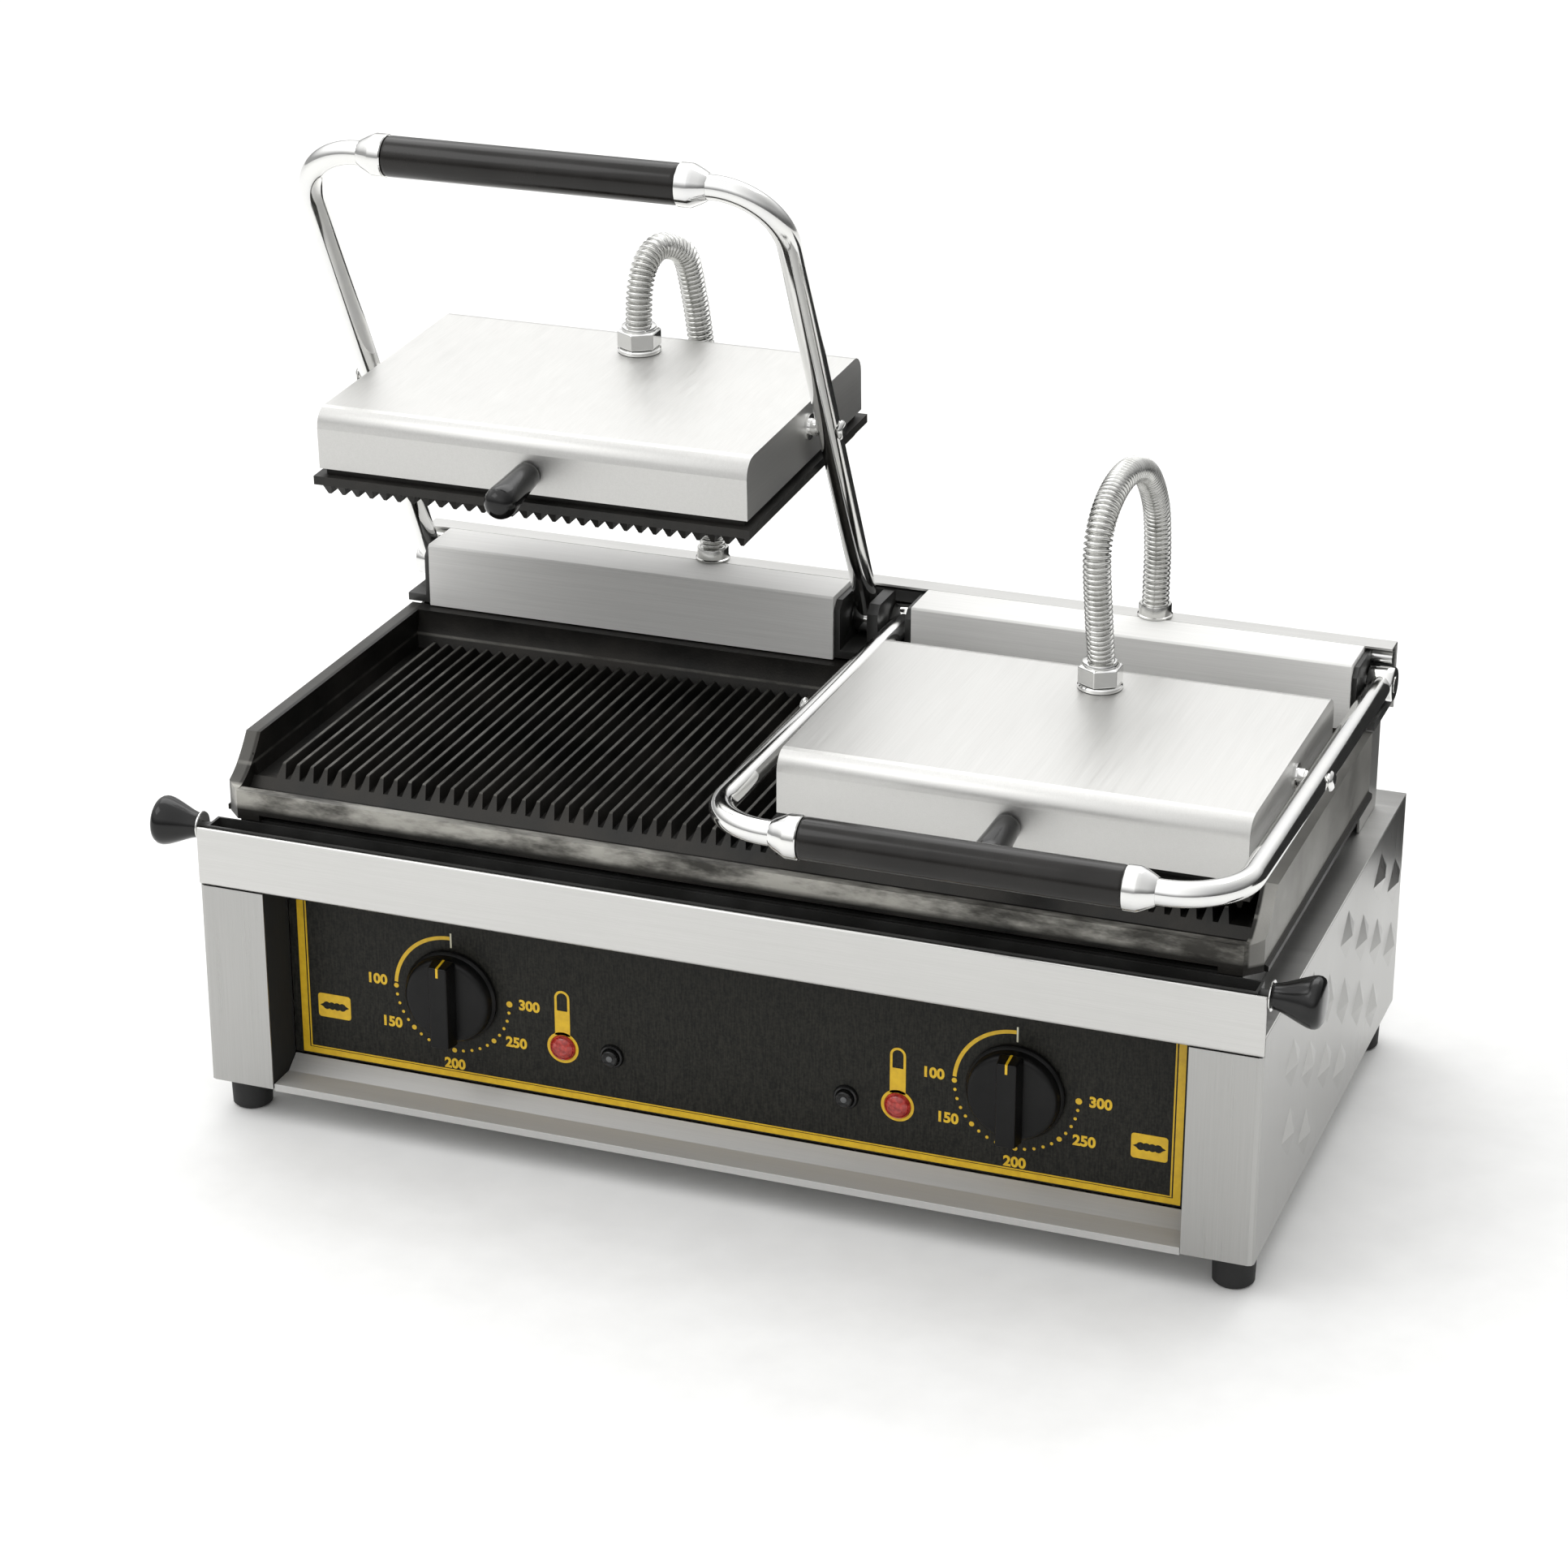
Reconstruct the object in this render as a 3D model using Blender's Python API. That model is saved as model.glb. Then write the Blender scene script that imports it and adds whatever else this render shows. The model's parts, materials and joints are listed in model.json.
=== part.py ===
"""Double contact grill with two separately lifted heads: left head raised, right head closed."""

import math

import bmesh
import bpy
from mathutils import Matrix, Vector

MM = 0.001

# Housing. X runs to the right, Y to the back from the front band, Z up from FOOT_DROP above the table.
HALF_WIDTH = 310.0
DEPTH = 340.0
FOOT_HEIGHT = 14.0
FOOT_DROP = 8.0
FOOT_RADIUS = 12.6
SHEET = 1.5
POST_WIDTH = 40.0
BAND_BOTTOM = 138.0
BAND_TOP = 173.0
SIDE_TOP = 150.0
PANEL_Y = 30.0
GAP = 0.35

# Controls on the panel
DIAL_X = 167.8
DIAL_Z = 78.6
LAMP_X = 100.0
BUTTON_X = 70.0
LAMP_Z = 57.0
KNOB_RADIUS = 28.0

# Lower ribbed plate
CAST_HALF = 301.5
CAST_FRONT = 17.9
CAST_BACK = 271.0
CAST_BOTTOM = 174.2
RIM_TOP = 214.6
RIM_WIDTH = 9.0
LIP_TOP = 191.5
FLOOR_Z = 192.3
RIB_TOP = 199.9
RIB_PITCH = 8.75
LOWER_RIBS = 64

# Tower and hinge
TOWER_FRONT = 267.7
NOTCH_BACK = 300.5
TOWER_BACK = 315.0
TOWER_TOP = 254.9
TOWER_HALF = 288.0
MIDDLE_GAP = 24.1
HINGE_Y = 298.5
HINGE_Z = 234.3
COVER_BOTTOM = 215.2
COLUMN_HALF = 297.0
AXLE_RADIUS = 5.0
HUB_RADIUS = 10.0
ROD_Y = 307.2
ROD_Z = 247.0
ROD_RADIUS = 4.2

# Yokes and heads
HEAD_X = 155.7
ARM_X = 143.9
ARM_LENGTH = 335.8
BEND_RADIUS = 38.0
TUBE_RADIUS = 7.0
GRIP_HALF = 87.0
PIVOT_REACH = 157.9
CLOSED_ANGLE = math.radians(1.2)
RAISED_ANGLE = math.radians(62.3)
RAISED_LEAN = math.radians(2.3)
HEAD_HALF = 131.2
HEAD_FRONT = -98.5
HEAD_BACK = 90.5
HEAD_TOP = 13.8
HEAD_BOTTOM = -21.2
HEAD_CHAMFER = 11.0
PLATE_HALF = 133.7
FLANGE_TOP = -25.0
FLANGE_BOTTOM = -30.2
TOOTH_BOTTOM = -37.2
UPPER_RIBS = 30
HANDLE_Z = -8.5
HANDLE_DROOP = math.radians(5)
NUT_X = 5.5
NUT_Y = 54.0
NUT_CORNER = 13.2

CONDUIT_RADIUS = 8.0
FOOT_X = 295.0
FOOT_Y = 21.0
Y_CENTRE = 153.413

STEEL = ((0.72, 0.72, 0.70), 1.0, 0.32)
CHROME = ((0.85, 0.85, 0.86), 1.0, 0.10)
IRON = ((0.030, 0.030, 0.030), 0.4, 0.55)
BLACK = ((0.020, 0.020, 0.022), 0.0, 0.40)
RUBBER = ((0.015, 0.015, 0.015), 0.0, 0.80)
BRASS = ((0.55, 0.45, 0.25), 1.0, 0.35)
RED = ((0.55, 0.02, 0.02), 0.0, 0.25)
CREAM = ((0.75, 0.72, 0.62), 0.0, 0.50)

for obj in list(bpy.data.objects):
    bpy.data.objects.remove(obj)

cutters = bpy.data.collections.new("cutters")
bpy.context.scene.collection.children.link(cutters)
cutters.hide_render = True


def material(name, look):
    """A Principled material of its own for one node."""
    colour, metallic, roughness = look
    made = bpy.data.materials.new(name)
    made.use_nodes = True
    shader = made.node_tree.nodes["Principled BSDF"]
    shader.inputs["Base Color"].default_value = (*colour, 1.0)
    shader.inputs["Metallic"].default_value = metallic
    shader.inputs["Roughness"].default_value = roughness
    return made


def mesh_of(build, name):
    """A mesh from a function that fills a bmesh in millimetres."""
    work = bmesh.new()
    build(work)
    bmesh.ops.recalc_face_normals(work, faces=work.faces)
    bmesh.ops.scale(work, vec=(MM, MM, MM), verts=work.verts)
    mesh = bpy.data.meshes.new(name)
    work.to_mesh(mesh)
    work.free()
    return mesh


def node(name, build, look, origin=(0.0, 0.0, 0.0), tilt=0.0):
    """One piece of the object. Its mesh is in millimetres from origin, turned by tilt about X."""
    obj = bpy.data.objects.new(name, mesh_of(build, name))
    obj.data.materials.append(material(name, look))
    obj.location = Vector(origin) * MM
    obj.rotation_euler.x = tilt
    bpy.context.scene.collection.objects.link(obj)
    return obj


def shape(target, operation, build):
    """A Boolean on target with a hidden helper that shares its placing."""
    helper = bpy.data.objects.new(target.name + "." + operation.lower(), mesh_of(build, "helper"))
    helper.location = target.location
    helper.rotation_euler = target.rotation_euler
    helper.hide_render = True
    helper.display_type = "WIRE"
    cutters.objects.link(helper)
    change = target.modifiers.new(operation.lower(), "BOOLEAN")
    change.operation = operation
    change.solver = "EXACT"
    change.object = helper


def box(work, x, y, z):
    """A block between two values on each axis."""
    size = (x[1] - x[0], y[1] - y[0], z[1] - z[0])
    centre = ((x[0] + x[1]) / 2, (y[0] + y[1]) / 2, (z[0] + z[1]) / 2)
    place = Matrix.Translation(centre) @ Matrix.Diagonal((*size, 1.0))
    bmesh.ops.create_cube(work, size=1.0, matrix=place)


def prism(work, profile, axis, low, high):
    """A profile of (a, b) points pushed along axis: x takes (y, z), y takes (x, z), z takes (x, y)."""
    def point(a, b, along):
        if axis == "x":
            return (along, a, b)
        if axis == "y":
            return (a, along, b)
        return (a, b, along)
    near = [work.verts.new(point(a, b, low)) for a, b in profile]
    far = [work.verts.new(point(a, b, high)) for a, b in profile]
    work.faces.new(near)
    work.faces.new(far)
    for i in range(len(near)):
        j = (i + 1) % len(near)
        work.faces.new((near[i], near[j], far[j], far[i]))


def turned(work, profile, centre, axis, steps=32):
    """A profile of (radius, along) points spun round an axis through centre. Closed at radius 0."""
    frame = {
        "x": Matrix(((0, 0, 1), (1, 0, 0), (0, 1, 0))),
        "y": Matrix(((0, 1, 0), (0, 0, 1), (1, 0, 0))),
        "z": Matrix(((1, 0, 0), (0, 1, 0), (0, 0, 1))),
    }[axis]
    rings = []
    for radius, along in profile:
        if radius == 0:
            rings.append([work.verts.new(Vector(centre) + frame @ Vector((0, 0, along)))])
            continue
        ring = []
        for k in range(steps):
            angle = 2 * math.pi * (k + 0.5) / steps
            spot = Vector((radius * math.cos(angle), radius * math.sin(angle), along))
            ring.append(work.verts.new(Vector(centre) + frame @ spot))
        rings.append(ring)
    closed = profile[0][0] != 0
    pairs = list(zip(rings, rings[1:])) + ([(rings[-1], rings[0])] if closed else [])
    for first, second in pairs:
        for k in range(steps):
            n = (k + 1) % steps
            if len(first) == 1:
                work.faces.new((first[0], second[k], second[n]))
            elif len(second) == 1:
                work.faces.new((first[k], second[0], first[n]))
            else:
                work.faces.new((first[k], second[k], second[n], first[n]))


def rod(work, centre, axis, radius, length, steps=16):
    """A plain cylinder from centre along axis."""
    turned(work, [(0, 0), (radius, 0), (radius, length), (0, length)], centre, axis, steps)


def swept(work, path, radius, sides):
    """A round bar along a path of points, square to it, with flat ends."""
    path = [Vector(p) for p in path]
    steps = [(b - a).normalized() for a, b in zip(path, path[1:])]
    along = [steps[0]] + [(a + b).normalized() for a, b in zip(steps, steps[1:])] + [steps[-1]]
    side = along[0].orthogonal().normalized()
    rings = []
    for point, heading in zip(path, along):
        side = (side - heading * side.dot(heading)).normalized()
        other = heading.cross(side)
        ring = []
        for k in range(sides):
            angle = 2 * math.pi * k / sides
            ring.append(work.verts.new(point + radius * (math.cos(angle) * side + math.sin(angle) * other)))
        rings.append(ring)
    for first, second in zip(rings, rings[1:]):
        for k in range(sides):
            n = (k + 1) % sides
            work.faces.new((first[k], first[n], second[n], second[k]))
    work.faces.new(rings[0][::-1])
    work.faces.new(rings[-1])


def arc(centre, radius, start, stop, steps):
    """(a, b) points on a circle between two angles in degrees."""
    return [
        (
            centre[0] + radius * math.cos(math.radians(start + (stop - start) * i / steps)),
            centre[1] + radius * math.sin(math.radians(start + (stop - start) * i / steps)),
        )
        for i in range(steps + 1)
    ]


def smooth_path(anchors, spacing):
    """Points about spacing apart on a smooth curve through the anchors."""
    anchors = [Vector(a) for a in anchors]
    padded = [2 * anchors[0] - anchors[1]] + anchors + [2 * anchors[-1] - anchors[-2]]
    path = []
    for a, b, c, d in zip(padded, padded[1:], padded[2:], padded[3:]):
        steps = max(2, round((c - b).length / spacing))
        for i in range(steps):
            t = i / steps
            path.append(
                0.5 * (2 * b + (c - a) * t + (2 * a - 5 * b + 4 * c - d) * t * t
                       + (3 * b - a - 3 * c + d) * t ** 3)
            )
    return path + [anchors[-1]]


# ---------------------------------------------------------------- housing

def sill(work):
    prism(
        work,
        [(0.6, 12.6), (0.6, 17.2), (19.0, 17.2), (29.2, 24.4), (29.2, 22.4), (19.6, 15.6), (2.4, 15.6),
         (2.4, 12.6)],
        "x", -HALF_WIDTH + POST_WIDTH + GAP, HALF_WIDTH - POST_WIDTH - GAP,
    )


node("sill_pan", sill, STEEL)


def base_tray(work):
    inside = HALF_WIDTH - SHEET - GAP
    prism(
        work,
        [(PANEL_Y + 3, FOOT_HEIGHT + GAP), (DEPTH, FOOT_HEIGHT + GAP), (DEPTH, SIDE_TOP - SHEET - GAP),
         (DEPTH - SHEET, SIDE_TOP - SHEET - GAP), (DEPTH - SHEET, FOOT_HEIGHT + GAP + SHEET),
         (PANEL_Y + 3, FOOT_HEIGHT + GAP + SHEET)],
        "x", -inside, inside,
    )


def vents(work):
    for x in range(-180, 181, 120):
        for y in (110, 150, 190, 230):
            box(work, (x - 25, x + 25), (y, y + 8), (FOOT_HEIGHT - 2, FOOT_HEIGHT + 4))
    rod(work, (230, DEPTH - 5, 60), "y", 8.4, 10)


tray = node("base_tray", base_tray, STEEL)
shape(tray, "DIFFERENCE", vents)


def deck(work):
    inside = HALF_WIDTH
    box(work, (-inside, inside), (2.6, DEPTH), (SIDE_TOP - SHEET, SIDE_TOP))


node("top_deck", deck, STEEL)

POINT_PITCH_Y = 83.0
POINT_PITCH_Z = 41.5
POINT_HALF_Y = 21.0
POINT_HALF_Z = 18.5
POINT_HEIGHT = 3.0


def side_panel(side):
    """One side sheet with its front post folded round it."""
    outer = side * HALF_WIDTH
    inner = side * (HALF_WIDTH - SHEET)
    post = side * (HALF_WIDTH - POST_WIDTH)
    post_in = post + side * SHEET
    corner = 3.0

    def build(work):
        prism(
            work,
            [(outer, DEPTH), (outer, corner), (outer - side * 0.9, 0.9), (outer - side * corner, 0.0),
             (post, 0.0), (post, PANEL_Y - GAP), (post_in, PANEL_Y - GAP), (post_in, SHEET),
             (inner - side * 1.6, SHEET), (inner, SHEET + 1.6), (inner, DEPTH)],
            "z", FOOT_HEIGHT, BAND_BOTTOM - GAP,
        )

    def top_strip(work):
        box(work, sorted((outer, inner)), (2.8, DEPTH), (BAND_BOTTOM - 5, SIDE_TOP - SHEET - GAP))

    def points(work):
        rows = ((POINT_PITCH_Z * 0.5 + FOOT_HEIGHT + 5, 111), (POINT_PITCH_Z + FOOT_HEIGHT + 5, 70),
                (POINT_PITCH_Z * 1.5 + FOOT_HEIGHT + 5, 111), (POINT_PITCH_Z * 2 + FOOT_HEIGHT + 5, 70),
                (POINT_PITCH_Z * 2.5 + FOOT_HEIGHT + 5, 111))
        for z, first in rows:
            for k in range(4):
                y = first + k * POINT_PITCH_Y
                if y + POINT_HALF_Y > DEPTH:
                    continue
                base = outer - side * 0.7
                ring = [(y - POINT_HALF_Y, z), (y, z - POINT_HALF_Z), (y + POINT_HALF_Y, z), (y, z + POINT_HALF_Z)]
                low = [work.verts.new((base, a, b)) for a, b in ring]
                tip = work.verts.new((outer + side * POINT_HEIGHT, y, z))
                work.faces.new(low)
                for i in range(4):
                    work.faces.new((low[i], low[(i + 1) % 4], tip))

    name = "left" if side < 0 else "right"
    panel = node(name + "_side_panel", build, STEEL)
    shape(panel, "UNION", top_strip)
    shape(panel, "UNION", points)


for side in (-1, 1):
    side_panel(side)


def band(work):
    prism(
        work,
        [(0.0, BAND_BOTTOM + 1.2), (0.0, BAND_TOP - 1.0), (0.6, BAND_TOP), (2.2, BAND_TOP),
         (2.2, BAND_BOTTOM), (0.8, BAND_BOTTOM)],
        "x", -HALF_WIDTH, HALF_WIDTH,
    )


def band_lip(work):
    inside = HALF_WIDTH - SHEET - GAP
    box(work, (-inside, inside), (1.0, 9.0), (BAND_BOTTOM, BAND_BOTTOM + 2.4))


front = node("front_band", band, STEEL)
shape(front, "UNION", band_lip)


def support_frame(work):
    box(work, (-292, 292), (20.5, 268), (SIDE_TOP + GAP, CAST_BOTTOM - GAP))


def support_hollow(work):
    box(work, (-288, 288), (24.5, 264), (SIDE_TOP - 5, CAST_BOTTOM + 5))


frame = node("support_frame", support_frame, BLACK)
shape(frame, "DIFFERENCE", support_hollow)


def panel_plate(work):
    edge = HALF_WIDTH - POST_WIDTH - GAP
    box(work, (-edge, edge), (PANEL_Y, PANEL_Y + 2), (25.0, BAND_BOTTOM - GAP))


def panel_holes(work):
    for side in (-1, 1):
        rod(work, (side * DIAL_X, PANEL_Y - 5, DIAL_Z), "y", 4.5, 12)
        rod(work, (side * LAMP_X, PANEL_Y - 5, LAMP_Z), "y", 6.3, 12)
        rod(work, (side * BUTTON_X, PANEL_Y - 5, LAMP_Z), "y", 5.3, 12)


plate = node("control_panel", panel_plate, BLACK)
shape(plate, "DIFFERENCE", panel_holes)


def foot(work):
    top = FOOT_HEIGHT - GAP
    turned(
        work,
        [(0, -FOOT_DROP), (FOOT_RADIUS - 2.2, -FOOT_DROP), (FOOT_RADIUS - 1.0, 1.2 - FOOT_DROP),
         (FOOT_RADIUS - 0.4, top - 4), (FOOT_RADIUS, top), (0, top)],
        (0, 0, 0), "z", 24,
    )


for across, x in (("left", -FOOT_X), ("right", FOOT_X)):
    for along, y in (("front", FOOT_Y), ("back", DEPTH - FOOT_Y)):
        node("foot_" + across + "_" + along, foot, RUBBER, (x, y, 0))

# ---------------------------------------------------------------- controls


def thermostat(work):
    box(work, (-19, 19), (PANEL_Y + 4, PANEL_Y + 36), (-17, 17))


def thermostat_shaft(work):
    rod(work, (0, PANEL_Y - 9, 0), "y", 3.0, 20)


def thermostat_bush(work):
    rod(work, (0, PANEL_Y - 0.2, 0), "y", 4.2, 10)


def lamp(work):
    turned(
        work,
        [(0, PANEL_Y - 3.2), (4.2, PANEL_Y - 2.6), (7.2, PANEL_Y - 1.0), (7.6, PANEL_Y - GAP), (6.0, PANEL_Y - GAP),
         (6.0, PANEL_Y + 14), (0, PANEL_Y + 14)],
        (0, 0, 0), "y", 20,
    )


def button(work):
    turned(
        work,
        [(0, PANEL_Y - 5.0), (4.4, PANEL_Y - 4.6), (5.0, PANEL_Y - 3.8), (5.0, PANEL_Y + 10), (0, PANEL_Y + 10)],
        (0, -PANEL_Y, 0), "y", 18,
    )


def dial_knob(work):
    turned(
        work,
        [(0, -10.5), (23.5, -10.5), (25.5, -9.0), (26.5, -4.0), (KNOB_RADIUS, -3.0), (KNOB_RADIUS, -0.6),
         (3.5, -0.6), (3.5, -9.6), (0, -9.6)],
        (0, 0, 0), "y", 32,
    )


def dial_grip(work):
    prism(
        work,
        [(-6.5, -26.3), (6.5, -26.3), (6.5, 26.3), (-6.5, 26.3)],
        "y", -20.0, -9.8,
    )


for name, side in (("left", -1), ("right", 1)):
    body = node(name + "_thermostat", thermostat, CREAM, (side * DIAL_X, 0, DIAL_Z))
    shape(body, "UNION", thermostat_shaft)
    shape(body, "UNION", thermostat_bush)
    node(name + "_lamp", lamp, RED, (side * LAMP_X, 0, LAMP_Z))
    node(name + "_button", button, BLACK, (side * BUTTON_X, PANEL_Y, LAMP_Z))
    knob = node(name + "_thermostat_knob", dial_knob, BLACK, (side * DIAL_X, PANEL_Y, DIAL_Z))
    shape(knob, "UNION", dial_grip)


def terminal_block(work):
    box(work, (205, 255), (285, 310), (30, 48))


node("terminal_block", terminal_block, CREAM)


def cable_gland(work):
    turned(
        work,
        [(5.0, -6), (8.0, -6), (8.0, 2.4), (13.0, 2.4), (13.0, 9), (10.0, 18), (5.0, 18)],
        (230, DEPTH - 2.0, 60), "y", 18,
    )


node("cable_gland", cable_gland, BLACK)

# ---------------------------------------------------------------- drip tray

TRAY_HALF = 304.5
TRAY_KNOB_Y = 9.0
TRAY_KNOB_Z = 170.5


def drip_tray(work):
    box(work, (-TRAY_HALF, TRAY_HALF), (2.8, 16.9), (158.0, 174.0))


def tray_hollow(work):
    box(work, (-TRAY_HALF + 1.5, TRAY_HALF - 1.5), (4.0, 15.7), (159.4, 180.0))


def tray_studs(work):
    for side in (-1, 1):
        start = min(side * (TRAY_HALF - 1.0), side * (HALF_WIDTH + 9))
        rod(work, (start, TRAY_KNOB_Y, TRAY_KNOB_Z), "x", 3.0, HALF_WIDTH + 9 - TRAY_HALF + 1.0)


drip = node("drip_tray", drip_tray, BLACK)
shape(drip, "DIFFERENCE", tray_hollow)
shape(drip, "UNION", tray_studs)


def tray_knob(side):
    def build(work):
        profile = [(3.4, 0), (7.0, 0), (7.6, 3), (9.6, 9), (13.0, 17), (14.2, 22), (13.4, 25.5), (9.5, 27.5),
                   (0, 28.0), (0, 9.5), (3.4, 9.5)]
        mirrored = [(radius, side * along) for radius, along in profile]
        start = mirrored.index((0, side * 28.0))
        ordered = mirrored[start + 1:] + mirrored[:start + 1]
        turned(work, ordered, (0, 0, 0), "x", 20)
    return build


for name, side in (("left", -1), ("right", 1)):
    node("tray_knob_" + name, tray_knob(side), BLACK, (side * (HALF_WIDTH + 1), TRAY_KNOB_Y, TRAY_KNOB_Z))

# ---------------------------------------------------------------- lower plate

CORNER = 9.0


def casting(work):
    half, front, back = CAST_HALF, CAST_FRONT, CAST_BACK
    prism(
        work,
        [(-half, front + CORNER), (-half + CORNER, front), (half - CORNER, front), (half, front + CORNER),
         (half, back), (-half, back)],
        "z", CAST_BOTTOM, RIM_TOP,
    )


def cooking_hollow(work):
    inside = CAST_HALF - RIM_WIDTH
    prism(
        work,
        [(10, LIP_TOP), (24, LIP_TOP), (26.5, 187.0), (35, 187.0), (40, FLOOR_Z), (CAST_BACK - 17, FLOOR_Z),
         (CAST_BACK - RIM_WIDTH - 2, 206), (CAST_BACK - RIM_WIDTH - 2, 230), (10, 230)],
        "x", -inside, inside,
    )


def rim_slope(work):
    curve = [(20 + 30 * i / 8, LIP_TOP + (RIM_TOP - LIP_TOP) * (i / 8) ** 1.8) for i in range(9)]
    prism(work, [(5, 230), (5, LIP_TOP)] + curve + [(52, 230)], "x", -320, 320)


def under_hollow(work):
    box(work, (-293, 293), (29, CAST_BACK - 10), (CAST_BOTTOM - 5, 184.5))


def front_notch(work):
    box(work, (-279, 279), (10, 31), (CAST_BOTTOM - 5, CAST_BOTTOM + 3.5))


def rib(work, x, base, top, y0, y1, slope):
    """One rib with a flat crest and sloped ends."""
    width = 3.1
    crest = 0.9
    low = [(x - width, y0), (x + width, y0), (x + width, y1), (x - width, y1)]
    high = [(x - crest, y0 + slope), (x + crest, y0 + slope), (x + crest, y1 - slope), (x - crest, y1 - slope)]
    foot_ring = [work.verts.new((a, b, base)) for a, b in low]
    crest_ring = [work.verts.new((a, b, top)) for a, b in high]
    work.faces.new(foot_ring)
    work.faces.new(crest_ring)
    for i in range(4):
        j = (i + 1) % 4
        work.faces.new((foot_ring[i], foot_ring[j], crest_ring[j], crest_ring[i]))


def lower_ribs(work):
    for k in range(LOWER_RIBS):
        x = (k - (LOWER_RIBS - 1) / 2) * RIB_PITCH
        rib(work, x, FLOOR_Z - 0.6, RIB_TOP, 39.5, CAST_BACK - 18, 6.0)


def side_slopes(work):
    inside = CAST_HALF - RIM_WIDTH
    for side in (-1, 1):
        prism(
            work,
            [(side * (inside + 1), 205), (side * (inside + 1), FLOOR_Z - 1), (side * (inside - 2.5), FLOOR_Z - 1)],
            "y", 41, CAST_BACK - 12,
        )
        prism(
            work,
            [(side * (CAST_HALF - 1), CAST_BOTTOM), (side * (CAST_HALF + 2.2), CAST_BOTTOM),
             (side * (CAST_HALF + 2.2), CAST_BOTTOM + 3), (side * (CAST_HALF - 1), CAST_BOTTOM + 4.5)],
            "y", CAST_FRONT + CORNER + 1, CAST_BACK - 1,
        )


casting_node = node("lower_plate", casting, IRON)
shape(casting_node, "DIFFERENCE", cooking_hollow)
shape(casting_node, "DIFFERENCE", rim_slope)
shape(casting_node, "DIFFERENCE", under_hollow)
shape(casting_node, "DIFFERENCE", front_notch)
shape(casting_node, "UNION", lower_ribs)
shape(casting_node, "UNION", side_slopes)


def serpentine(centre_x, half, front, back, z, passes):
    """A path that runs up and down between front and back, with round turns."""
    pitch = 2 * half / (passes - 1)
    path = []
    for k in range(passes):
        x = centre_x - half + k * pitch
        ends = (front, back) if k % 2 == 0 else (back, front)
        path.append((x, ends[0], z))
        path.append((x, ends[1], z))
        if k < passes - 1:
            turn = arc((x + pitch / 2, ends[1]), pitch / 2, 180, 0, 6)
            sign = 1 if k % 2 == 0 else -1
            path += [(a, ends[1] + sign * (b - ends[1]), z) for a, b in turn[1:-1]]
    return path


def lower_heater(centre_x):
    def build(work):
        swept(work, serpentine(centre_x, 105, 65, 220, 179.8, 5), 3.3, 6)
    return build


node("lower_heater_left", lower_heater(-145), STEEL)
node("lower_heater_right", lower_heater(145), STEEL)

# ---------------------------------------------------------------- tower


def tower_cover(side):
    outer = side * TOWER_HALF
    inner = side * (MIDDLE_GAP + 0.2)
    low, high = sorted((outer, inner))

    def build(work):
        prism(
            work,
            [(TOWER_FRONT, COVER_BOTTOM), (TOWER_FRONT, TOWER_TOP - 1.2), (TOWER_FRONT + 1.2, TOWER_TOP),
             (NOTCH_BACK - GAP, TOWER_TOP), (NOTCH_BACK - GAP, COVER_BOTTOM)],
            "x", low, high,
        )

    def hollow(work):
        box(work, (low + SHEET, high - SHEET), (TOWER_FRONT + SHEET, NOTCH_BACK + 5), (COVER_BOTTOM - 5, TOWER_TOP - SHEET))

    def axle_holes(work):
        rod(work, (low - 5, HINGE_Y, HINGE_Z), "x", AXLE_RADIUS + 0.6, high - low + 10)

    name = "left" if side < 0 else "right"
    cover = node("tower_cover_" + name, build, STEEL)
    shape(cover, "DIFFERENCE", hollow)
    shape(cover, "DIFFERENCE", axle_holes)


for side in (-1, 1):
    tower_cover(side)


WING_HALF = 304.0


def rear_cover(work):
    prism(
        work,
        [(NOTCH_BACK, TOWER_TOP - SHEET), (NOTCH_BACK, TOWER_TOP), (TOWER_BACK - 1.2, TOWER_TOP),
         (TOWER_BACK, TOWER_TOP - 1.2), (TOWER_BACK, SIDE_TOP + GAP), (TOWER_BACK - SHEET, SIDE_TOP + GAP),
         (TOWER_BACK - SHEET, TOWER_TOP - SHEET)],
        "x", -COLUMN_HALF, COLUMN_HALF,
    )


def rear_returns(work):
    for side in (-1, 1):
        x = sorted((side * COLUMN_HALF, side * (COLUMN_HALF - SHEET)))
        box(work, x, (CAST_BACK + 1.5, TOWER_BACK - 0.8), (SIDE_TOP + GAP, CAST_BOTTOM + 39.5))


def rear_wings(work):
    prism(
        work,
        [(NOTCH_BACK, TOWER_TOP - SHEET), (NOTCH_BACK, TOWER_TOP), (TOWER_BACK - 1.2, TOWER_TOP),
         (TOWER_BACK, TOWER_TOP - 1.2), (TOWER_BACK, 214), (TOWER_BACK - SHEET, 214),
         (TOWER_BACK - SHEET, TOWER_TOP - SHEET)],
        "x", -WING_HALF, WING_HALF,
    )


rear = node("tower_rear_cover", rear_cover, STEEL)
shape(rear, "UNION", rear_returns)
shape(rear, "UNION", rear_wings)


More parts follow.
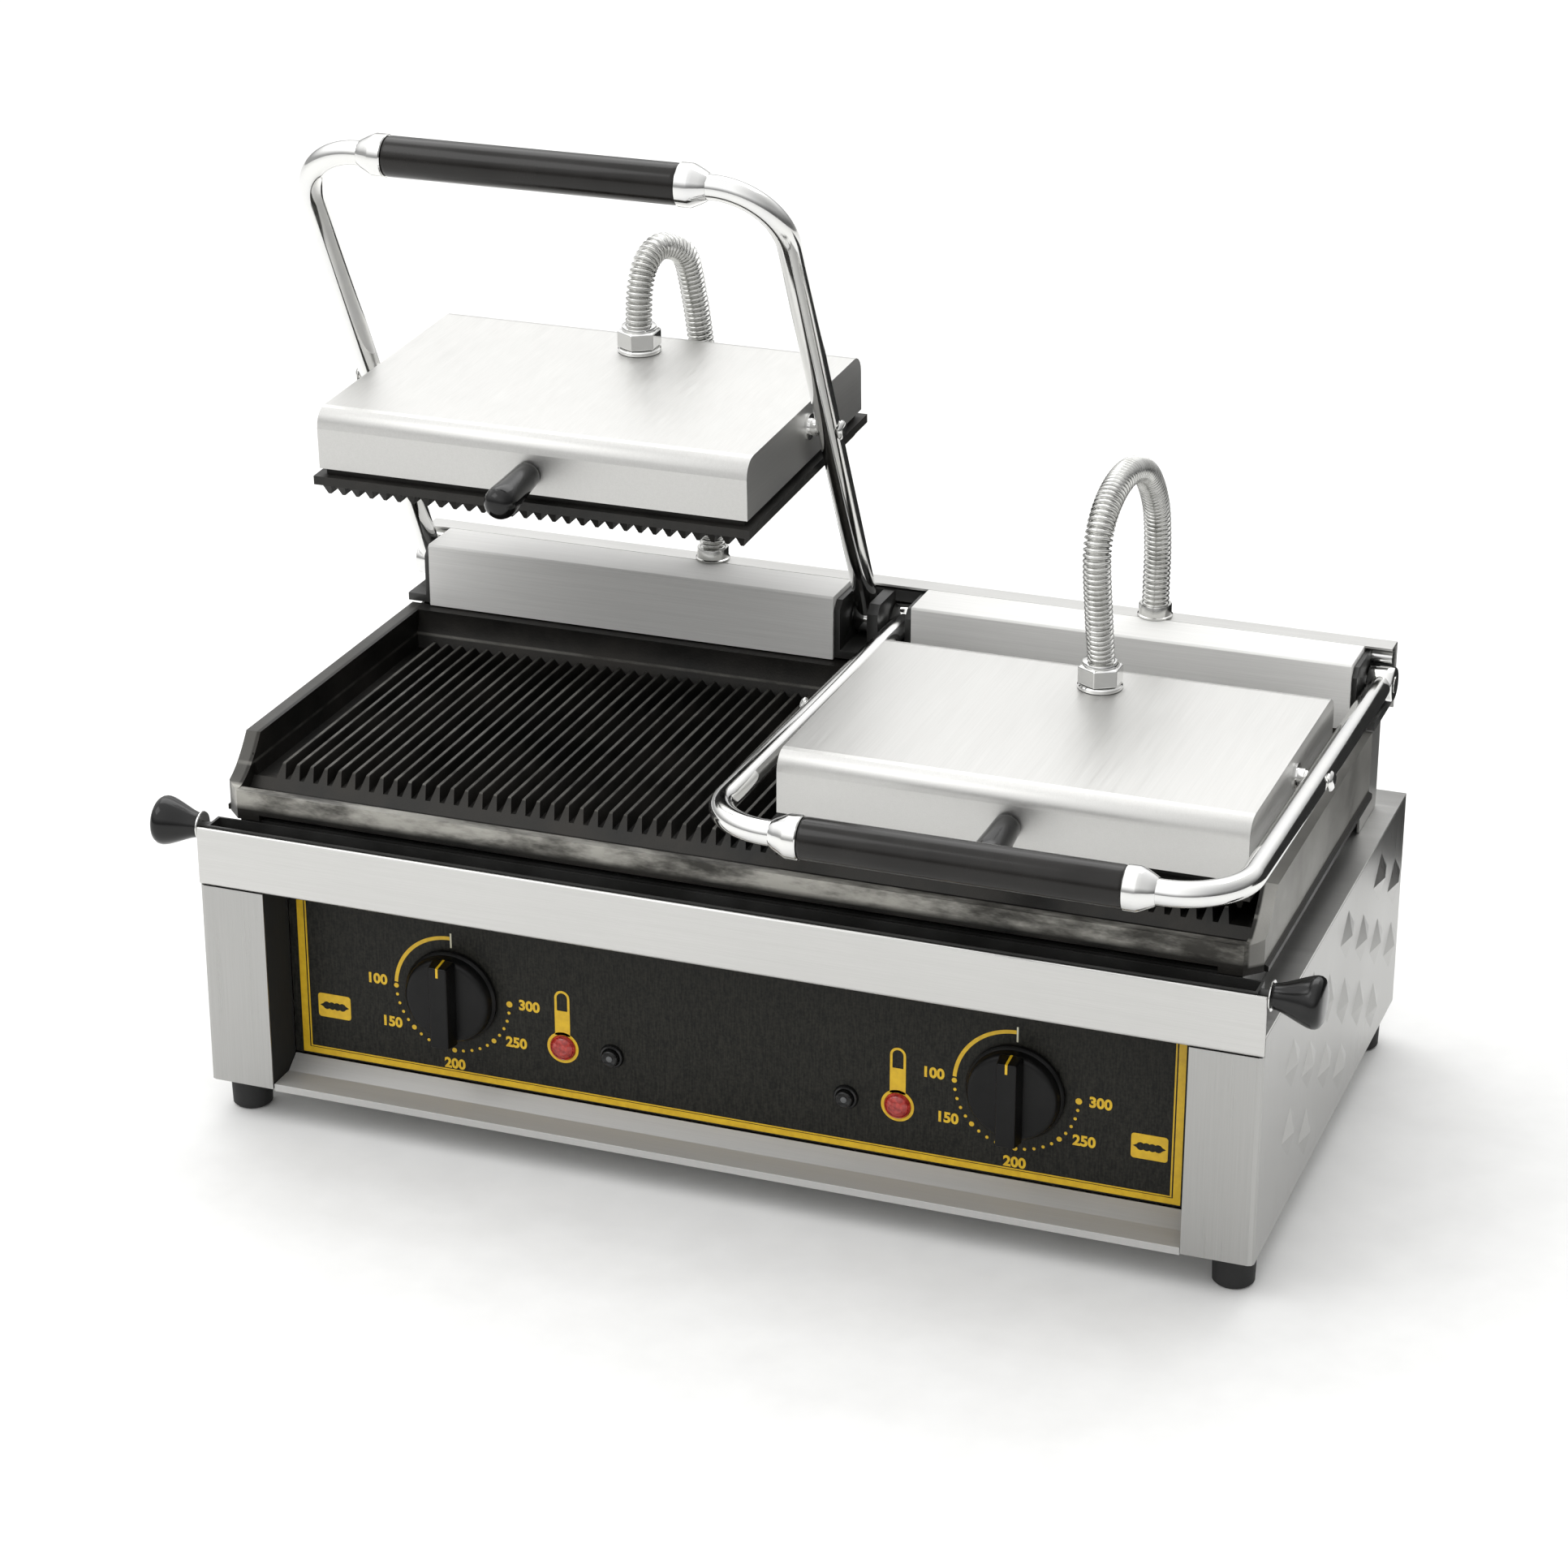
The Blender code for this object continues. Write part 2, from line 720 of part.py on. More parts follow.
def hinge_block(low, high, slots, slot_back):
    """A black block that fills a notch in the tower, slotted for the arms."""
    top = TOWER_TOP - 3.0
    back = TOWER_BACK - SHEET - GAP

    def build(work):
        prism(
            work,
            [(TOWER_FRONT + 1, 216.5), (TOWER_FRONT + 1, top - 5), (TOWER_FRONT + 6, top), (back, top), (back, 216.5)],
            "x", low, high,
        )

    def hub_slots(work):
        for centre in slots:
            box(work, (centre - 8.4, centre + 8.4), (TOWER_FRONT - 5, 309.3), (221.5, HINGE_Z + HUB_RADIUS + 0.5))

    def arm_slots(work):
        for centre in slots:
            box(work, (centre - 8.4, centre + 8.4), (TOWER_FRONT - 5, slot_back), (230, TOWER_TOP + 5))

    def axle_bore(work):
        rod(work, (low - 5, HINGE_Y, HINGE_Z), "x", AXLE_RADIUS + 0.25, high - low + 10)

    def rod_bore(work):
        rod(work, (low - 5, ROD_Y, ROD_Z), "x", ROD_RADIUS + 0.25, high - low + 10)

    return build, (hub_slots, arm_slots, axle_bore, rod_bore)


blocks = (
    ("hinge_block_left", -WING_HALF + 1, -TOWER_HALF - GAP, (-HEAD_X - ARM_X,), 311.5),
    ("hinge_block_centre", -MIDDLE_GAP + 0.2, MIDDLE_GAP - 0.2, (ARM_X - HEAD_X, HEAD_X - ARM_X), 301.0),
    ("hinge_block_right", TOWER_HALF + GAP, WING_HALF - 1, (HEAD_X + ARM_X,), 311.5),
)
for name, low, high, slots, slot_back in blocks:
    block, block_cuts = hinge_block(low, high, slots, slot_back)
    made = node(name, block, IRON)
    for cut in block_cuts:
        shape(made, "DIFFERENCE", cut)


def axle(work):
    end = HEAD_X + ARM_X + 8.0
    rod(work, (-end, HINGE_Y, HINGE_Z), "x", AXLE_RADIUS, 2 * end)


def spring_rod(work):
    end = WING_HALF - 0.5
    rod(work, (-end, ROD_Y, ROD_Z), "x", ROD_RADIUS, 2 * end)


node("hinge_axle", axle, CHROME)
node("spring_rod", spring_rod, CHROME)

SPRING_TURNS = 6
SPRING_RADIUS = 8.0


def spring(centre_x):
    def build(work):
        count = SPRING_TURNS * 10
        path = []
        for i in range(count + 1):
            angle = 2 * math.pi * i / 10
            x = centre_x + (i / count - 0.5) * SPRING_TURNS * 4.4
            path.append((x, HINGE_Y + SPRING_RADIUS * math.cos(angle), HINGE_Z + SPRING_RADIUS * math.sin(angle)))
        path.append((path[-1][0] + 1.0, HINGE_Y + SPRING_RADIUS, HINGE_Z - 16))
        path.insert(0, (path[0][0] - 1.0, HINGE_Y + SPRING_RADIUS, HINGE_Z - 14))
        swept(work, path, 1.3, 5)
    return build


node("counter_spring_left", spring(-HEAD_X - 60), STEEL)
node("counter_spring_right", spring(HEAD_X + 60), STEEL)

# ---------------------------------------------------------------- yokes and heads


def yoke_path():
    """The centre line of a yoke from one hub to the other, with the hinge axis at the origin."""
    side = ARM_X - BEND_RADIUS
    front = -ARM_LENGTH + BEND_RADIUS
    start = -HUB_RADIUS + 3.0
    path = [(-ARM_X, start, 0)]
    path += [(x, y, 0) for x, y in arc((-side, front), BEND_RADIUS, 180, 270, 7)]
    path += [(x, y, 0) for x, y in arc((side, front), BEND_RADIUS, 270, 360, 7)]
    path.append((ARM_X, start, 0))
    return path


def yoke(work):
    swept(work, yoke_path(), TUBE_RADIUS, 14)


def yoke_hubs(work):
    for side in (-1, 1):
        rod(work, (side * ARM_X - 7.6, 0, 0), "x", HUB_RADIUS, 15.2, 20)


def ferrules(work):
    for side in (-1, 1):
        profile = [(0, GRIP_HALF + 0.3), (12.2, GRIP_HALF + 0.3), (12.2, GRIP_HALF + 7), (11.2, GRIP_HALF + 8.5),
                   (7.7, GRIP_HALF + 17), (0, GRIP_HALF + 17)]
        turned(work, [(r, side * a) for r, a in profile], (0, -ARM_LENGTH, 0), "x", 14)


def yoke_bores(work):
    for side in (-1, 1):
        rod(work, (side * ARM_X - 12, 0, 0), "x", AXLE_RADIUS + 0.3, 24, 16)
        rod(work, (side * ARM_X - 12, -PIVOT_REACH, 0), "x", 4.3, 24, 12)


def grip(work):
    end = GRIP_HALF
    turned(
        work,
        [(7.35, -end), (11.0, -end), (11.5, -end + 3), (11.5, end - 3), (11.0, end), (7.35, end)],
        (0, -ARM_LENGTH, 0), "x", 18,
    )


def head_profile(inset):
    front, back, top = HEAD_FRONT + inset, HEAD_BACK - inset, HEAD_TOP - inset
    radius = HEAD_CHAMFER - inset / 2
    profile = [(front, HEAD_BOTTOM)]
    profile += arc((front + radius, top - radius), radius, 180, 90, 5)
    profile += arc((back - radius, top - radius), radius, 90, 0, 5)
    profile.append((back, HEAD_BOTTOM))
    return profile


def head_shell(work):
    prism(work, head_profile(0), "x", -HEAD_HALF, HEAD_HALF)


def head_hollow(work):
    inner = head_profile(SHEET)
    inner[0] = (inner[0][0], HEAD_BOTTOM - 5)
    inner[-1] = (inner[-1][0], HEAD_BOTTOM - 5)
    prism(work, inner, "x", -HEAD_HALF + SHEET, HEAD_HALF - SHEET)


def head_holes(work):
    rod(work, (NUT_X, NUT_Y, 0), "z", 6.8, 30)
    rod(work, (-HEAD_HALF - 5, 0, 0), "x", 4.3, 2 * HEAD_HALF + 10)
    rod(work, (0, HEAD_FRONT - 5, HANDLE_Z), "y", 4.3, 10)


def upper_plate(work):
    box(work, (-PLATE_HALF, PLATE_HALF), (HEAD_FRONT - 3.4, HEAD_BACK + 3.4), (FLANGE_BOTTOM, FLANGE_TOP))


def upper_neck(work):
    box(work, (-HEAD_HALF + 3, HEAD_HALF - 3), (HEAD_FRONT + 3, HEAD_BACK - 3), (FLANGE_TOP - 1, HEAD_BOTTOM - GAP))


def upper_ribs(work):
    for k in range(UPPER_RIBS):
        x = (k - (UPPER_RIBS - 1) / 2) * RIB_PITCH
        rib(work, x, FLANGE_BOTTOM + 0.6, TOOTH_BOTTOM, HEAD_FRONT - 1.5, HEAD_BACK + 1.5, 4.0)


def upper_heater(work):
    swept(work, serpentine(0, 100, -60, 45, -16.5, 5), 3.3, 6)


def handle(work):
    turned(
        work,
        [(0, -47), (4.5, -46.3), (7.6, -44), (9.3, -40), (9.6, -36), (8.6, -20), (7.8, -4), (7.4, -1.2), (3.0, -1.2),
         (3.0, 8), (0, 8)],
        (0, 0, 0), "y", 18,
    )


def pivot_pin(side):
    def build(work):
        profile = [(0, 125.5), (7.0, 125.5), (7.0, 129.2), (4.0, 129.2), (4.0, 131.7), (7.4, 131.7), (7.4, 136.4),
                   (4.0, 136.4), (4.0, 151.2), (0, 151.2)]
        turned(work, [(r, side * a) for r, a in profile], (0, 0, 0), "x", 12)
    return build


def conduit_nut(work):
    turned(
        work,
        [(CONDUIT_RADIUS + 0.4, 15.5), (CONDUIT_RADIUS + 2.4, 15.5), (CONDUIT_RADIUS + 2.4, 0.3), (6.4, 0.3),
         (6.4, -7), (4.5, -7), (4.5, 8.0), (CONDUIT_RADIUS + 0.4, 8.0)],
        (NUT_X, NUT_Y, HEAD_TOP), "z", 16,
    )


def nut_hexagon(work):
    profile = [(0, 3.0), (NUT_CORNER, 3.0), (NUT_CORNER, 13.8), (0, 13.8)]
    turned(work, profile, (NUT_X, NUT_Y, HEAD_TOP), "z", 6)


def nut_bore(work):
    rod(work, (NUT_X, NUT_Y, HEAD_TOP + 8.0), "z", CONDUIT_RADIUS + 0.4, 12)
    rod(work, (NUT_X, NUT_Y, HEAD_TOP - 9.0), "z", 4.5, 16.5)


def conduit_ferrule(work):
    turned(
        work,
        [(CONDUIT_RADIUS + 0.4, 8.0), (CONDUIT_RADIUS + 1.6, 8.0), (CONDUIT_RADIUS + 1.6, 0.3),
         (4.5, 0.3), (4.5, 1.8), (CONDUIT_RADIUS + 0.4, 1.8)],
        (0, 0, TOWER_TOP), "z", 16,
    )


def unit(name, centre_x, angle, lean, entry, anchors):
    """One yoke with its head, raised by angle, and its conduit from the head to the tower."""
    pivot_y = HINGE_Y - PIVOT_REACH * math.cos(angle)
    pivot_z = HINGE_Z + PIVOT_REACH * math.sin(angle)
    axis = (centre_x, HINGE_Y, HINGE_Z)
    pivot = Vector((centre_x, pivot_y, pivot_z))
    turn = Matrix.Rotation(lean, 3, "X")
    tube = node(name + "_yoke_tube", yoke, CHROME, axis, -angle)
    shape(tube, "UNION", yoke_hubs)
    shape(tube, "UNION", ferrules)
    shape(tube, "DIFFERENCE", yoke_bores)
    node(name + "_yoke_grip", grip, BLACK, axis, -angle)
    shell = node(name + "_head_shell", head_shell, STEEL, pivot, lean)
    shape(shell, "DIFFERENCE", head_hollow)
    shape(shell, "DIFFERENCE", head_holes)
    ribbed = node(name + "_upper_plate", upper_plate, IRON, pivot, lean)
    shape(ribbed, "UNION", upper_neck)
    shape(ribbed, "UNION", upper_ribs)
    node(name + "_upper_heater", upper_heater, STEEL, pivot, lean)
    handle_base = pivot + turn @ Vector((0, HEAD_FRONT, HANDLE_Z))
    node(name + "_head_handle", handle, BLACK, handle_base, lean + HANDLE_DROOP)
    for label, side in (("left", -1), ("right", 1)):
        node(name + "_pivot_pin_" + label, pivot_pin(side), CHROME, pivot, lean)
    nut = node(name + "_conduit_nut", conduit_nut, CHROME, pivot, lean)
    shape(nut, "UNION", nut_hexagon)
    shape(nut, "DIFFERENCE", nut_bore)
    node(name + "_conduit_ferrule", conduit_ferrule, STEEL, (entry[0], entry[1], 0))
    rise = [pivot + turn @ Vector((NUT_X, NUT_Y, HEAD_TOP + h)) for h in (8.5, 19)]
    drop = [(entry[0], entry[1], TOWER_TOP + h) for h in (21, 10, 2.2)]
    curve = bpy.data.curves.new(name + "_conduit", "CURVE")
    curve.dimensions = "3D"
    curve.bevel_depth = CONDUIT_RADIUS * MM
    curve.bevel_resolution = 2
    curve.use_fill_caps = True
    path = smooth_path(rise + anchors + drop, 8.0)
    spline = curve.splines.new("POLY")
    spline.points.add(len(path) - 1)
    for point, place in zip(spline.points, path):
        point.co = (*(place * MM), 1.0)
    conduit = bpy.data.objects.new(name + "_conduit", curve)
    conduit.data.materials.append(material(name + "_conduit", CHROME))
    bpy.context.scene.collection.objects.link(conduit)


LEFT_LOOP = [(-150, 280, 428), (-149, 288, 442), (-145, 302, 448), (-138, 320, 439), (-135, 329, 410),
             (-132, 332, 380), (-126, 330, 350), (-118, 311, 292)]
RIGHT_LOOP = [(160.5, 190, 295), (159, 188, 335), (159, 206, 356), (160, 240, 363), (161, 276, 352),
              (161.5, 300, 326), (162, 306, 298)]
unit("left", -HEAD_X, RAISED_ANGLE, RAISED_LEAN, (-115.5, 306), LEFT_LOOP)
unit("right", HEAD_X, CLOSED_ANGLE, 0.0, (162, 306), RIGHT_LOOP)

for obj in bpy.context.scene.objects:
    obj.location.y -= Y_CENTRE * MM
    obj.location.z += FOOT_DROP * MM
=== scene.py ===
"""Looks of a double contact grill: left head raised, right head closed.

Lengths are in millimetres from the middle of the front band's plane, LIFT above the table,
and become metres where a piece is placed.
"""

import json
import math

import bmesh
import bpy
from mathutils import Matrix, Vector


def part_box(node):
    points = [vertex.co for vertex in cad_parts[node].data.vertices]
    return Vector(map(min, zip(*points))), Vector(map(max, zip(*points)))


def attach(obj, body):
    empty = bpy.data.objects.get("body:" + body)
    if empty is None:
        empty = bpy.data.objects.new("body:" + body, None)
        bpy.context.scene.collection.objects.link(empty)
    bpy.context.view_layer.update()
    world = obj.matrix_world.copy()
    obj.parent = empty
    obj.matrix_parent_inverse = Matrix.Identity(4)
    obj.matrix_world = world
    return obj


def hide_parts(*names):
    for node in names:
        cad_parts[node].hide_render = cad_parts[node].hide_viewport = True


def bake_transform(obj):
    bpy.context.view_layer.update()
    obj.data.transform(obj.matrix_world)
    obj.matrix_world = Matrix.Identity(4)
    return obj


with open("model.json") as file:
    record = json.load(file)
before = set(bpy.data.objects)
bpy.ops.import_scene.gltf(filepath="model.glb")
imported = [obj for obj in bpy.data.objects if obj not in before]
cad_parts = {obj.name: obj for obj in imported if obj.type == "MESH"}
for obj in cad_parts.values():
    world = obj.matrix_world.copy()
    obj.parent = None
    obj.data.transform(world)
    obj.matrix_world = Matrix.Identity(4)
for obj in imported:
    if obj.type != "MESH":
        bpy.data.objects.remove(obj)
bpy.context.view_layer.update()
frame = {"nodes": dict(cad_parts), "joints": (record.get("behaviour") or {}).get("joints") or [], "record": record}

MM = 0.001
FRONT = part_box("front_band")[0].y
TOWER_TOP = 254.9
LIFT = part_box("tower_rear_cover")[1].z / MM - TOWER_TOP
PANEL_Y = (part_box("control_panel")[0].y - FRONT) / MM
DIAL_X, DIAL_Z = 167.8, 78.6
LAMP_X, BUTTON_X, LAMP_Z = 100.0, 70.0, 57.0
HEAD_X, ARM_X, ARM_LENGTH = 155.7, 143.9, 335.8
BEND_RADIUS, TUBE_RADIUS, HUB_RADIUS, GRIP_HALF = 38.0, 7.0, 10.0, 87.0
HEAD_FRONT, HEAD_TOP, HANDLE_Z = -98.5, 13.8, -8.5
NUT_X, NUT_Y, NUT_CORNER = 5.5, 54.0, 13.2
FERRULE_Y = 306
POST_INNER = 271.8
CASTING_END = 294.2
LABEL_X, LABEL_Z = 243.3, 58.0
DIAL_RING = 35.3

joints = {joint["name"]: joint for joint in frame["joints"]}


def depth(y):
    """A distance behind the band, in the frame's metres."""
    return y * MM + FRONT


def height(z):
    """A height above LIFT, in the frame's metres."""
    return (z + LIFT) * MM


def in_mm(point):
    """A point of the record, in millimetres from the band."""
    return Vector((point[0] / MM, (point[1] - FRONT) / MM, point[2] / MM - LIFT))


def to_frame(point):
    """A point in millimetres from the band, in the frame's metres."""
    return Vector((point[0] * MM, depth(point[1]), height(point[2])))


# ---------------------------------------------------------------- shapes


def box(work, x, y, z):
    size = (x[1] - x[0], y[1] - y[0], z[1] - z[0])
    centre = ((x[0] + x[1]) / 2, (y[0] + y[1]) / 2, (z[0] + z[1]) / 2)
    bmesh.ops.create_cube(work, size=1.0, matrix=Matrix.Translation(centre) @ Matrix.Diagonal((*size, 1.0)))


AXES = {
    "x": Matrix(((0, 0, 1), (1, 0, 0), (0, 1, 0))),
    "y": Matrix(((0, 1, 0), (0, 0, 1), (1, 0, 0))),
    "z": Matrix(((1, 0, 0), (0, 1, 0), (0, 0, 1))),
}


def turned(work, profile, centre=(0, 0, 0), axis="z", steps=48, phase=0.5):
    """A profile of (radius, along) points spun round an axis. Closed at radius 0."""
    rings = []
    for radius, along in profile:
        if radius == 0:
            rings.append([work.verts.new(Vector(centre) + AXES[axis] @ Vector((0, 0, along)))])
            continue
        ring = []
        for k in range(steps):
            angle = 2 * math.pi * (k + phase) / steps
            spot = Vector((radius * math.cos(angle), radius * math.sin(angle), along))
            ring.append(work.verts.new(Vector(centre) + AXES[axis] @ spot))
        rings.append(ring)
    closed = profile[0][0] != 0
    pairs = list(zip(rings, rings[1:])) + ([(rings[-1], rings[0])] if closed else [])
    for first, second in pairs:
        for k in range(steps):
            n = (k + 1) % steps
            if len(first) == 1:
                work.faces.new((first[0], second[k], second[n]))
            elif len(second) == 1:
                work.faces.new((first[k], second[0], first[n]))
            else:
                work.faces.new((first[k], second[k], second[n], first[n]))


def swept(work, path, radii, sides):
    """A round bar along a path, with a radius at each point and flat ends."""
    path = [Vector(p) for p in path]
    steps = [(b - a).normalized() for a, b in zip(path, path[1:])]
    along = [steps[0]] + [(a + b).normalized() for a, b in zip(steps, steps[1:])] + [steps[-1]]
    side = along[0].orthogonal().normalized()
    rings = []
    for point, heading, radius in zip(path, along, radii):
        side = (side - heading * side.dot(heading)).normalized()
        other = heading.cross(side)
        ring = []
        for k in range(sides):
            angle = 2 * math.pi * k / sides
            ring.append(work.verts.new(point + radius * (math.cos(angle) * side + math.sin(angle) * other)))
        rings.append(ring)
    for first, second in zip(rings, rings[1:]):
        for k in range(sides):
            n = (k + 1) % sides
            work.faces.new((first[k], first[n], second[n], second[k]))
    work.faces.new(rings[0][::-1])
    work.faces.new(rings[-1])


def outline(work, points, low, high):
    """A flat shape of (x, z) points with a thickness from y low to y high."""
    near = [work.verts.new((a, low, b)) for a, b in points]
    far = [work.verts.new((a, high, b)) for a, b in points]
    work.faces.new(near)
    work.faces.new(far)
    for i in range(len(near)):
        j = (i + 1) % len(near)
        work.faces.new((near[i], near[j], far[j], far[i]))


def arc(centre, radius, start, stop, steps):
    return [
        (
            centre[0] + radius * math.cos(math.radians(start + (stop - start) * i / steps)),
            centre[1] + radius * math.sin(math.radians(start + (stop - start) * i / steps)),
        )
        for i in range(steps + 1)
    ]


def smooth_path(anchors, spacing):
    """Points about spacing apart on a smooth curve through the anchors."""
    anchors = [Vector(a) for a in anchors]
    padded = [2 * anchors[0] - anchors[1]] + anchors + [2 * anchors[-1] - anchors[-2]]
    path = []
    for a, b, c, d in zip(padded, padded[1:], padded[2:], padded[3:]):
        steps = max(2, round((c - b).length / spacing))
        for i in range(steps):
            t = i / steps
            path.append(
                0.5 * (2 * b + (c - a) * t + (2 * a - 5 * b + 4 * c - d) * t * t
                       + (3 * b - a - 3 * c + d) * t ** 3)
            )
    return path + [anchors[-1]]


def piece(name, build, look, origin=(0, 0, 0), tilt=0.0, edge=0.0, angle=30.0):
    """A new mesh piece. Its mesh is in millimetres from origin, turned by tilt about X."""
    work = bmesh.new()
    build(work)
    bmesh.ops.recalc_face_normals(work, faces=work.faces)
    bmesh.ops.scale(work, vec=(MM, MM, MM), verts=work.verts)
    mesh = bpy.data.meshes.new(name)
    work.to_mesh(mesh)
    work.free()
    obj = bpy.data.objects.new(name, mesh)
    bpy.context.scene.collection.objects.link(obj)
    mesh.materials.append(look)
    obj.location = to_frame(origin)
    obj.rotation_euler.x = tilt
    finish_edges(obj, edge, angle)
    return obj


def finish_edges(obj, edge, angle):
    """Rounded edges where edge is above 0, and smooth shading up to angle."""
    for face in obj.data.polygons:
        face.use_smooth = True
    if edge > 0:
        bevel = obj.modifiers.new("edges", "BEVEL")
        bevel.width = edge * MM
        bevel.segments = 2
        bevel.limit_method = "ANGLE"
        bevel.angle_limit = math.radians(angle)
        bevel.use_clamp_overlap = True
        bevel.harden_normals = True
    else:
        split = obj.modifiers.new("edges", "EDGE_SPLIT")
        split.split_angle = math.radians(angle)


# ---------------------------------------------------------------- materials


class Look:
    """A Principled material with its nodes at hand."""

    def __init__(self, name, metallic=0.0):
        self.material = bpy.data.materials.new(name)
        self.material.use_nodes = True
        self.tree = self.material.node_tree
        self.shader = self.tree.nodes["Principled BSDF"]
        self.shader.inputs["Metallic"].default_value = metallic
        self.place = self.tree.nodes.new("ShaderNodeTexCoord").outputs["Object"]

    def link(self, a, b):
        self.tree.links.new(a, b)

    def noise(self, scale, detail=3.0, stretch=(1, 1, 1), rough=0.55):
        mapping = self.tree.nodes.new("ShaderNodeMapping")
        mapping.inputs["Scale"].default_value = stretch
        self.link(self.place, mapping.inputs["Vector"])
        made = self.tree.nodes.new("ShaderNodeTexNoise")
        made.inputs["Scale"].default_value = scale
        made.inputs["Detail"].default_value = detail
        made.inputs["Roughness"].default_value = rough
        self.link(mapping.outputs["Vector"], made.inputs["Vector"])
        return made.outputs["Fac"]

    def remap(self, value, low, high, to_low, to_high):
        made = self.tree.nodes.new("ShaderNodeMapRange")
        ends = {"From Min": low, "From Max": high, "To Min": to_low, "To Max": to_high}
        for name, number in ends.items():
            made.inputs[name].default_value = number
        self.link(value, made.inputs["Value"])
        return made.outputs["Result"]

    def mix(self, factor, first, second):
        made = self.tree.nodes.new("ShaderNodeMix")
        made.data_type = "RGBA"
        self.link(factor, made.inputs["Factor"])
        sockets = [s for s in made.inputs if s.type == "RGBA"]
        for socket, value in zip(sockets, (first, second)):
            if isinstance(value, tuple):
                socket.default_value = (*value, 1.0)
            else:
                self.link(value, socket)
        return [s for s in made.outputs if s.type == "RGBA"][0]

    def shade(self, value, low, high, first, second):
        """A colour that goes from first to second as value goes from low to high."""
        return self.mix(self.remap(value, low, high, 0.0, 1.0), first, second)

    def maths(self, operation, first, second=0.5):
        made = self.tree.nodes.new("ShaderNodeMath")
        made.operation = operation
        for socket, value in zip(made.inputs, (first, second)):
            if isinstance(value, (int, float)):
                socket.default_value = value
            else:
                self.link(value, socket)
        return made.outputs["Value"]

    def axis(self, name):
        made = self.tree.nodes.new("ShaderNodeSeparateXYZ")
        self.link(self.place, made.inputs["Vector"])
        return made.outputs[name]

    def bump(self, height, strength, distance):
        made = self.tree.nodes.new("ShaderNodeBump")
        made.inputs["Strength"].default_value = strength
        made.inputs["Distance"].default_value = distance
        self.link(height, made.inputs["Height"])
        self.link(made.outputs["Normal"], self.shader.inputs["Normal"])

    def colour(self, output):
        self.link(output, self.shader.inputs["Base Color"])

    def rough(self, output):
        self.link(output, self.shader.inputs["Roughness"])


def brushed(name, grain, tone=0.60, low=0.34, high=0.44, strength=0.05, metallic=1.0, paint_post_shade=False):
    """Brushed stainless steel, scratched along the grain axis. The last flag paints shade on the posts' inner
    sides: near-black, rough and not metallic.
    """
    look = Look(name, metallic)
    stretch = [1.0, 1.0, 1.0]
    stretch["xyz".index(grain)] = 0.012
    fine = look.noise(1500, 2, stretch)
    broad = look.noise(420, 2, stretch)
    smudge = look.noise(7, 3)
    both = look.maths("ADD", look.maths("MULTIPLY", fine, 0.7), look.maths("MULTIPLY", broad, 0.3))
    dark = (tone * 0.95, tone * 0.945, tone * 0.92)
    pale = (tone * 1.05, tone * 1.045, tone * 1.02)
    colour = look.shade(both, 0.3, 0.7, dark, pale)
    streak = look.remap(both, 0.3, 0.7, low, high)
    # Painted shade: the posts' inner sides, which lie in shade behind the band, are painted near-black, rough and
    # not metallic.
    if paint_post_shade:
        x = look.maths("ABSOLUTE", look.axis("X"), 0.0)
        between = look.remap(x, (POST_INNER - 0.1) * MM, (POST_INNER + 0.1) * MM, 1.0, 0.0)
        behind = look.remap(look.axis("Y"), depth(0.8), depth(1.0), 0.0, 1.0)
        inner = look.maths("MULTIPLY", between, behind)
        colour = look.mix(inner, colour, (0.010, 0.010, 0.009))
        look.link(look.remap(inner, 0.0, 1.0, metallic, 0.0), look.shader.inputs["Metallic"])
        streak = look.maths("ADD", streak, look.maths("MULTIPLY", inner, 0.6))
    look.colour(colour)
    look.rough(look.maths("ADD", streak, look.remap(smudge, 0.35, 0.7, -0.015, 0.03)))
    look.bump(both, strength, 0.00008)
    return look.material


def polished(name, tone=0.80, rough=0.07):
    """Chromed tube with light handling marks."""
    look = Look(name, 1.0)
    haze = look.noise(60, 5)
    scuff = look.noise(900, 2, (1, 0.08, 1))
    dark, pale = (tone * 0.97,) * 3, (tone * 1.03, tone * 1.03, tone)
    look.colour(look.shade(haze, 0.3, 0.7, dark, pale))
    look.rough(look.maths("ADD", look.remap(haze, 0.3, 0.75, rough, rough + 0.07),
                          look.remap(scuff, 0.62, 0.8, 0.0, 0.10)))
    look.bump(look.noise(45, 2), 0.05, 0.0004)
    return look.material


def flexible_steel(name):
    """Bright corrugated conduit, with a faint random haze in tone and shine."""
    look = Look(name, 1.0)
    haze = look.noise(120, 4)
    look.colour(look.shade(haze, 0.3, 0.7, (0.52, 0.52, 0.50), (0.70, 0.70, 0.68)))
    look.rough(look.remap(haze, 0.3, 0.7, 0.13, 0.27))
    look.bump(look.noise(700, 2), 0.08, 0.0003)
    return look.material


def cast_iron(name):
    """Seasoned cast iron, sandy and oiled."""
    look = Look(name, 0.35)
    sand = look.noise(1100, 4)
    lump = look.noise(130, 3)
    oil = look.noise(22, 4)
    base = look.shade(oil, 0.35, 0.7, (0.010, 0.010, 0.009), (0.030, 0.028, 0.025))
    look.colour(base)
    patches = look.remap(lump, 0.3, 0.7, -0.05, 0.05)
    look.rough(look.maths("ADD", look.remap(oil, 0.3, 0.7, 0.36, 0.60), patches))
    look.bump(look.maths("ADD", sand, look.maths("MULTIPLY", lump, 1.5)), 0.30, 0.0004)
    return look.material


